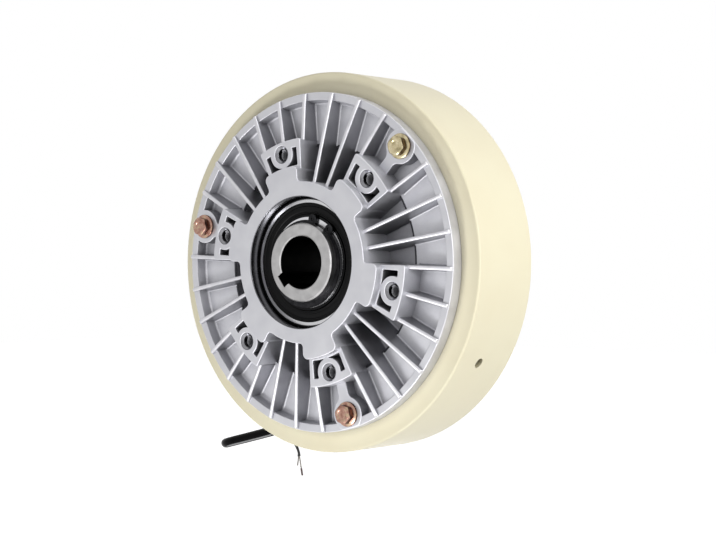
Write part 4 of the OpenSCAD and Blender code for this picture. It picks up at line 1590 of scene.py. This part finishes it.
@dataclass
class Studio:
    """Camera, white surroundings and lamps. Distances in metres, angles in degrees."""

    azimuth: float = 38.62
    elevation: float = 0.40
    lens: float = 85.83
    sensor: float = 36.0
    nearest: float = 0.01
    reach: float = 0.984
    aside: float = 0.01995
    raised: float = -0.0044
    aim_y: float = -YOKE_FACE * MM
    floor_z: float = -0.42
    floor_half: float = 6.0
    floor_roughness: float = 0.9
    ambient: float = 0.26
    floor_glow: float = 0.90

    def build(self) -> None:
        """Set up the camera, the white surroundings and the lamps."""
        bpy.context.scene.view_settings.view_transform = "Standard"
        self.camera()
        self.world()
        self.floor()
        # The first lights the yoke's side, the second shines into the lower slots of the casting, the
        # third grazes its upper fins and the last one lights the rear
        self.lamp("key_lamp_right", (1.25, -0.28, 0.20), size=1.0, watts=13.1)
        self.lamp("fill_lamp_low_front", (-0.05, -0.46, -0.32), size=0.14, watts=1.32)
        self.lamp("top_lamp", (0.50, -0.02, 1.20), size=0.6, watts=3.4)
        self.lamp("back_lamp", (-0.70, 1.00, -0.10), size=0.8, watts=4.0)

    def camera(self) -> None:
        """Place the camera where the photograph was taken from."""
        a, e = math.radians(self.azimuth), math.radians(self.elevation)
        back = Vector((math.sin(a) * math.cos(e), -math.cos(a) * math.cos(e), math.sin(e)))
        right = Vector((math.cos(a), math.sin(a), 0.0))
        up = back.cross(right)
        spot = right * self.aside + up * self.raised + back * self.reach + Vector((0, self.aim_y, 0))
        data = bpy.data.cameras.new("photo_camera")
        data.lens = self.lens
        data.sensor_width = self.sensor
        data.clip_start = self.nearest
        camera = bpy.data.objects.new("photo_camera", data)
        camera.matrix_world = Matrix((*zip(right, up, back, spot), (0, 0, 0, 1)))
        bpy.context.scene.collection.objects.link(camera)
        bpy.context.scene.camera = camera

    def seen(self, tree: bpy.types.NodeTree) -> bpy.types.NodeSocket:
        """Test whether a ray comes from the camera, a gloss or a clear piece.

        Args:
            tree: Node tree that takes the test.

        Returns:
            Socket that is 1 for such a ray.
        """
        path = add_node(tree, "ShaderNodeLightPath").outputs
        found = path["Is Camera Ray"]
        for other in ("Is Glossy Ray", "Is Transmission Ray"):
            found = add_node(tree, "ShaderNodeMath", links={0: found, 1: path[other]},
                             operation="MAXIMUM").outputs[0]
        return found

    def world(self) -> None:
        """Make the world white to the eye and an even soft light on the object."""
        world = bpy.data.worlds.new("white_surround")
        world.use_nodes = True
        tree = world.node_tree
        tree.nodes.clear()
        strength = add_node(tree, "ShaderNodeMapRange", {"To Min": self.ambient, "To Max": 1.0},
                            {"Value": self.seen(tree)})
        glow = add_node(tree, "ShaderNodeBackground", {"Color": linear("#ffffff")},
                        {"Strength": strength.outputs["Result"]})
        add_node(tree, "ShaderNodeOutputWorld", links={"Surface": glow.outputs[0]})
        bpy.context.scene.world = world

    def floor(self) -> None:
        """Lay a white floor well below the brake, which keeps its soft shadow."""
        data = bpy.data.meshes.new("studio_floor")
        h, z = self.floor_half, self.floor_z
        data.from_pydata([(-h, -h, z), (h, -h, z), (h, h, z), (-h, h, z)], [], [(0, 1, 2, 3)])
        floor = bpy.data.objects.new("studio_floor", data)
        # White card: pale and dull, and it glows to the eye so that it meets the white surround
        material = bpy.data.materials.new("floor_white_card")
        material.use_nodes = True
        tree = material.node_tree
        shader = tree.nodes["Principled BSDF"]
        shader.inputs["Base Color"].default_value = linear("#c8c8c8")
        shader.inputs["Roughness"].default_value = self.floor_roughness
        shader.inputs["Emission Color"].default_value = linear("#ffffff")
        glow = add_node(tree, "ShaderNodeMath", {1: self.floor_glow}, {0: self.seen(tree)},
                        operation="MULTIPLY")
        tree.links.new(glow.outputs[0], shader.inputs["Emission Strength"])
        data.materials.append(material)
        bpy.context.scene.collection.objects.link(floor)

    def lamp(self, name: str, spot: Spot, size: float, watts: float) -> None:
        """Hang a soft square lamp that faces the brake.

        Args:
            name: Name of the lamp.
            spot: Its place.
            size: Its width.
            watts: Its power.
        """
        data = bpy.data.lights.new(name, "AREA")
        data.size = size
        data.energy = watts
        lamp = bpy.data.objects.new(name, data)
        lamp.location = spot
        lamp.rotation_euler = (-Vector(spot)).to_track_quat("-Z", "Y").to_euler()
        bpy.context.scene.collection.objects.link(lamp)


def main() -> None:
    """Build the studio and the brake, piece by piece."""
    logging.basicConfig(level=logging.INFO, format="%(name)s: %(message)s")
    Studio().build()
    Lead().build()
    FieldYoke().build()
    ShaftAndRotor().build()
    for end in End:
        EndBracket(end).build()
        BracketBolts(end).build()
        Bearing(end).build()


if __name__ == "__main__":
    main()
